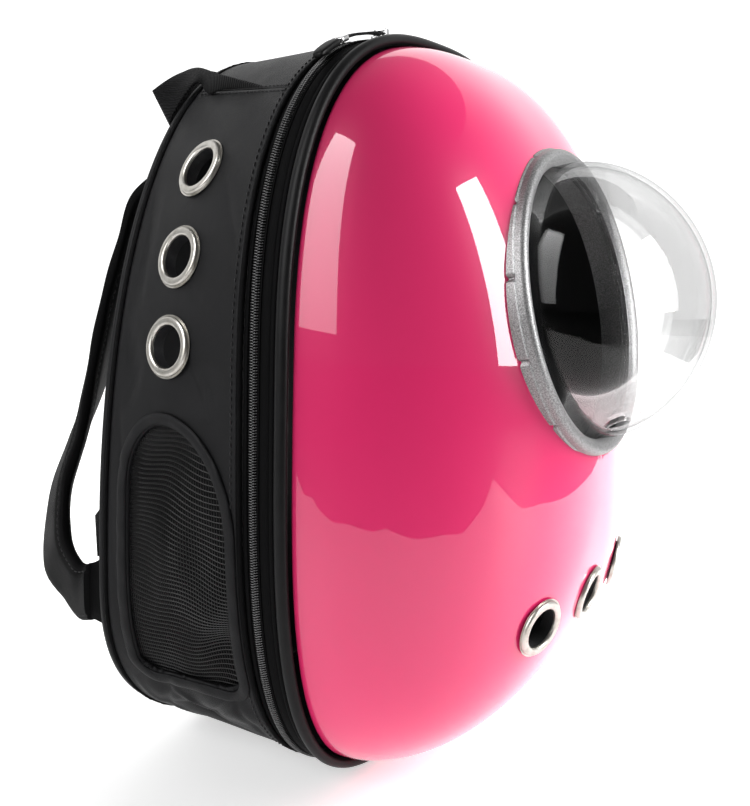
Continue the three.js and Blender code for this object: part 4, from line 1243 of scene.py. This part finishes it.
bridge_start = slider_out + (slider_length - bridge_length) / 2
slider_parts = [track_pillow(slider_out, slider_length, slider_width, seam_gap, slider_top, 6)]
for way in (-1, 1):
    post = track_pillow(bridge_start, bridge_length, bridge_wall, slider_top - 0.3, bridge_top, 4)
    post[0][:, 1] += way * (slider_width - bridge_wall) / 2
    slider_parts.append(post)
slider_parts.append(track_pillow(
    bridge_start, bridge_length, slider_width, bridge_top - bridge_wall, bridge_top, 4,
))
make_piece("slider", join_closed(slider_parts), steel_finish, "silver", ["zipper_slider"])
pull_start = bridge_start + bridge_length / 4
pull = track_pillow(
    pull_start, pull_length, pull_width, pull_low, pull_low + pull_thickness, 8, (80, 24),
)
crimp_start = pull_start + pull_length - 0.5
crimp = track_pillow(
    crimp_start, crimp_length + 0.8, grip_width, pull_middle - 1.5, pull_middle + 1.5, 7,
)
make_piece("crimp", crimp[:2], steel_finish, "silver", ["pull_crimp"])
grip_start = pull_start + pull_length + seam_gap + crimp_length + seam_gap
grip = track_pillow(
    grip_start - 0.5, grip_length + 0.5, grip_width, pull_middle - grip_thickness / 2,
    pull_middle + grip_thickness / 2, 4,
)
make_piece("grip", grip, vinyl_finish, "vinyl", ["pull_grip"])


# Webbing: black twill tape with slanting ribs and a plain edge, for the handle, pull and tails.
webbing = Finish("twill_webbing")
along, across = webbing.grain()
slant = (along + across * 0.9).wave(1.9)
cross = (along * 1.0 + across * -2.4).wave(2.6)
ribs_and_shade = slant * (cross * 0.5 + 0.5)
# The colour follows the ribs' height: darker in the grooves and lighter on the tops, painted shade of
# the twill.
webbing.set(
    Base_Color=webbing.mix(ribs_and_shade, (0.003, 0.003, 0.0033, 1), (0.018, 0.018, 0.019, 1)),
    Roughness=0.6, Specular_IOR_Level=0.08,
)
webbing.bump(ribs_and_shade, 0.0005)
make_piece("pull_tape", pull, webbing, "webbing", ["zipper_pull"])


# Carry handle: a loop of webbing sewn into both shoulder seams, folded over and flopped behind
# the top. Its two edges run through the same places as the solid's.
webbing_thickness = 1.8
handle_width = 40
ribbon_steps = 260
back_face = back_front + pad_thickness


def through(stations, steps):
    """A smooth curve through places: a Catmull-Rom spline, worked out for all steps at once."""
    stations = np.asarray(stations, float)
    padded = np.vstack([2 * stations[0] - stations[1], stations, 2 * stations[-1] - stations[-2]])
    t = np.linspace(0, len(stations) - 1, steps)
    i = np.minimum(t.astype(int), len(stations) - 2)
    f = (t - i)[:, None]
    a, b, c, d = (padded[i + k] for k in range(4))
    curve = (2 * a - 5 * b + 4 * c - d) * f ** 2 + (3 * b - a - 3 * c + d) * f ** 3
    return 0.5 * (2 * b + (c - a) * f + curve)


def ribbon(upper, lower, thickness, profile, steps=ribbon_steps, swell=None):
    """A closed ribbon between two edges. profile gives half the thickness across it, from one
    edge, -1, to the other, 1; swell adds to both faces as (run, across)."""
    upper, lower = through(upper, steps), through(lower, steps)
    across = lower - upper
    run = np.gradient(upper, axis=0) + np.gradient(lower, axis=0)
    face = unit(np.cross(across, run))
    at, half = np.array(profile, float).T
    spread = np.concatenate([at, at[::-1]])
    lift = np.concatenate([half, -half[::-1]]) * thickness / 2
    middle = (upper + lower) / 2
    far = run_along(*middle.T)
    if swell:
        lift = lift + swell(far[:, None], spread) * np.sign(lift)
    points = middle[:, None] + across[:, None] * spread[:, None] / 2
    points = points + face[:, None] * np.broadcast_to(lift, points.shape[:2])[..., None]
    width = np.linalg.norm(across, axis=1)
    chart = stack(far[:, None], spread * width[:, None] / 2)
    count = len(spread)
    strip = np.arange(count // 2 - 1)
    start = np.stack([strip, count - 1 - strip, count - 2 - strip, strip + 1], -1)
    end = start[:, ::-1] + (steps - 1) * count
    faces = np.vstack([grid(steps, count, join_columns=True), start, end])
    return points.reshape(-1, 3), faces, chart


tape_profile = [(-1, 0.55), (-0.97, 0.95), (-0.5, 1), (0, 1), (0.5, 1), (0.97, 0.95), (1, 0.55)]
handle_rows = [
    ((0.591, -0.504, 0.934), (0.553, -0.340, 0.914)), ((0.454, -0.060, 0.957), (0.541, -0.200, 0.931)),
    ((0.564, 0.130, 0.927), (0.543, 0.020, 0.880)), ((0.344, 0.130, 0.965), (0.344, 0.075, 0.888)),
    ((0, 0.120, 0.970), (0, 0.075, 0.890)),
]


def handle_place(shares):
    """A place from its shares of the top half width, the gusset's depth and the bag's height."""
    out, behind, up = shares
    return np.array([-out * top_half, back_face + behind * gusset_depth, up * bag_height])


def seam_place(along, raise_by):
    """A place over the shoulder seam, a share of the way back."""
    y = gusset_front + gusset_depth * along
    x, z, out_x, out_z = outline(shoulder(y), y, gusset_inset)
    return np.array([x + out_x * raise_by, y, z + out_z * raise_by])


sewn = handle_width / 2 / gusset_depth
seam_raise = seam_gap + webbing_thickness / 2 + 0.5
handle_edges = []
for way, row in ((-1, 0), (1, 1)):
    places = [handle_place(places[row]) for places in handle_rows]
    edge = np.array([seam_place(0.5 + way * sewn, seam_raise), *places])
    handle_edges.append(np.vstack([edge, (edge * flip)[-2::-1]]))
handle = ribbon(*handle_edges, webbing_thickness, tape_profile)
make_piece("webbing_handle", handle, webbing, "webbing", ["carry_handle"], smooth=70)


# Shoulder straps: foam in cloth with a seam near each edge, sewn flat to the top of the back and
# hanging slack behind it. The lower end narrows into a folded tab.
strap_width = 58
strap_thickness = 10
strap_reach = 73
strap_rows = [
    (0.270, 0.30, 0.818, 1.00, (0.98, 0.15, 0)), (0.300, 0.60, 0.778, 1.00, (0.97, 0.22, 0)),
    (0.343, 0.74, 0.717, 1.00, (0.93, 0.36, 0)), (0.404, 0.84, 0.647, 1.00, (0.88, 0.47, -0.03)),
    (0.462, 0.90, 0.574, 1.00, (0.83, 0.55, -0.08)), (0.560, 0.92, 0.480, 1.00, (0.70, 0.69, -0.15)),
    (0.640, 0.92, 0.419, 1.00, (0.55, 0.79, -0.28)), (0.715, 0.97, 0.342, 1.00, (0.45, 0.80, -0.40)),
    (0.790, 0.84, 0.262, 1.00, (0.32, 0.73, -0.60)), (0.820, 0.57, 0.228, 0.95, (0.36, 0.62, -0.70)),
    (0.850, 0.34, 0.224, 0.78, (0.20, 0.40, -0.90)), (0.885, 0.16, 0.236, 0.64, (0.05, 0.10, -1)),
]


def strap_station(middle, width, across):
    """Both edges of the strap at a place."""
    half = unit(np.array(across, float)) * width * strap_width / 2
    return middle - half, middle + half


sewn_top = [(0.250, 0.868), (0.255, 0.850)]
sewn_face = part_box("shoulder_strap_left")[0][1] * 1000 + strap_thickness / 2
stations = [
    strap_station((-out * bottom_half, sewn_face + 0.6 * k, up * bag_height), 1, (1, 0, 0))
    for k, (out, up) in enumerate(sewn_top)
]
for out, behind, up, width, across in strap_rows:
    place = (-out * bottom_half, back_face + behind * strap_reach, up * bag_height)
    stations.append(strap_station(place, width, across))
upper, lower = (np.array([station[k] for station in stations]) for k in (0, 1))
pad_at = np.sin(np.linspace(-np.pi / 2, np.pi / 2, 21))
pad_profile = [(a, 0.30 + 0.70 * (1 - abs(a) ** 5) ** 0.6) for a in pad_at]


def strap_swell(run, across):
    """The pad's seam near its edges and faint cross puckers."""
    seam = -0.9 * np.exp(-(((np.abs(across) - 0.80) / 0.035) ** 2))
    return seam + 0.25 * np.sin(run / 7.5) * np.clip((np.abs(across) - 0.5) / 0.3, 0, 1)


strap = ribbon(upper, lower, strap_thickness, pad_profile, swell=strap_swell)
make_pair("padded_strap", strap, dull_cloth, "cloth", ["shoulder_strap"])
columns = strap[0].reshape(ribbon_steps, -1, 3)[6:-4].transpose(1, 0, 2)
strap_thread = [
    stitch_tubes(columns[k], unit(columns[k] - columns[len(columns) - 1 - k])) for k in (4, 16, 25, 37)
]
make_pair("strap_thread", join_closed(strap_thread), thread_finish, "cloth")


# Strap tabs and tails: a folded triangle of cloth holds each strap's lower end in the back's
# corner, and a tail of webbing is sewn above it.
short_steps = 24
tab_low, tab_high = (np.array(corner) * 1000 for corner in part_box("strap_tab_left"))
tab_middle = (tab_low + tab_high) / 2
tab_rows = [
    (-147, tab_low[1], 127, 81), (tab_middle[0], tab_middle[1], 121, 82), (-148, tab_high[1], 116, 83),
]
tail_low, tail_high = (np.array(corner) * 1000 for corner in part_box("strap_tail_left"))
tail_rows = [
    (tail_low[0] + 0.9, tail_low[1], 157, 131), (-141, tail_low[1] + 12, 151, 125),
    (-139.5, tail_high[1], 144, 118),
]
for name, rows, thickness, finish, slot, node in (
    ("cloth_tab", tab_rows, 3, dull_cloth, "cloth", "strap_tab"),
    ("webbing_tail", tail_rows, webbing_thickness, webbing, "webbing", "strap_tail"),
):
    upper, lower = ([(x, y, heights[k]) for x, y, *heights in rows] for k in (0, 1))
    band = ribbon(upper, lower, thickness, tape_profile, short_steps)
    make_pair(name, band, finish, slot, [node], smooth=70)
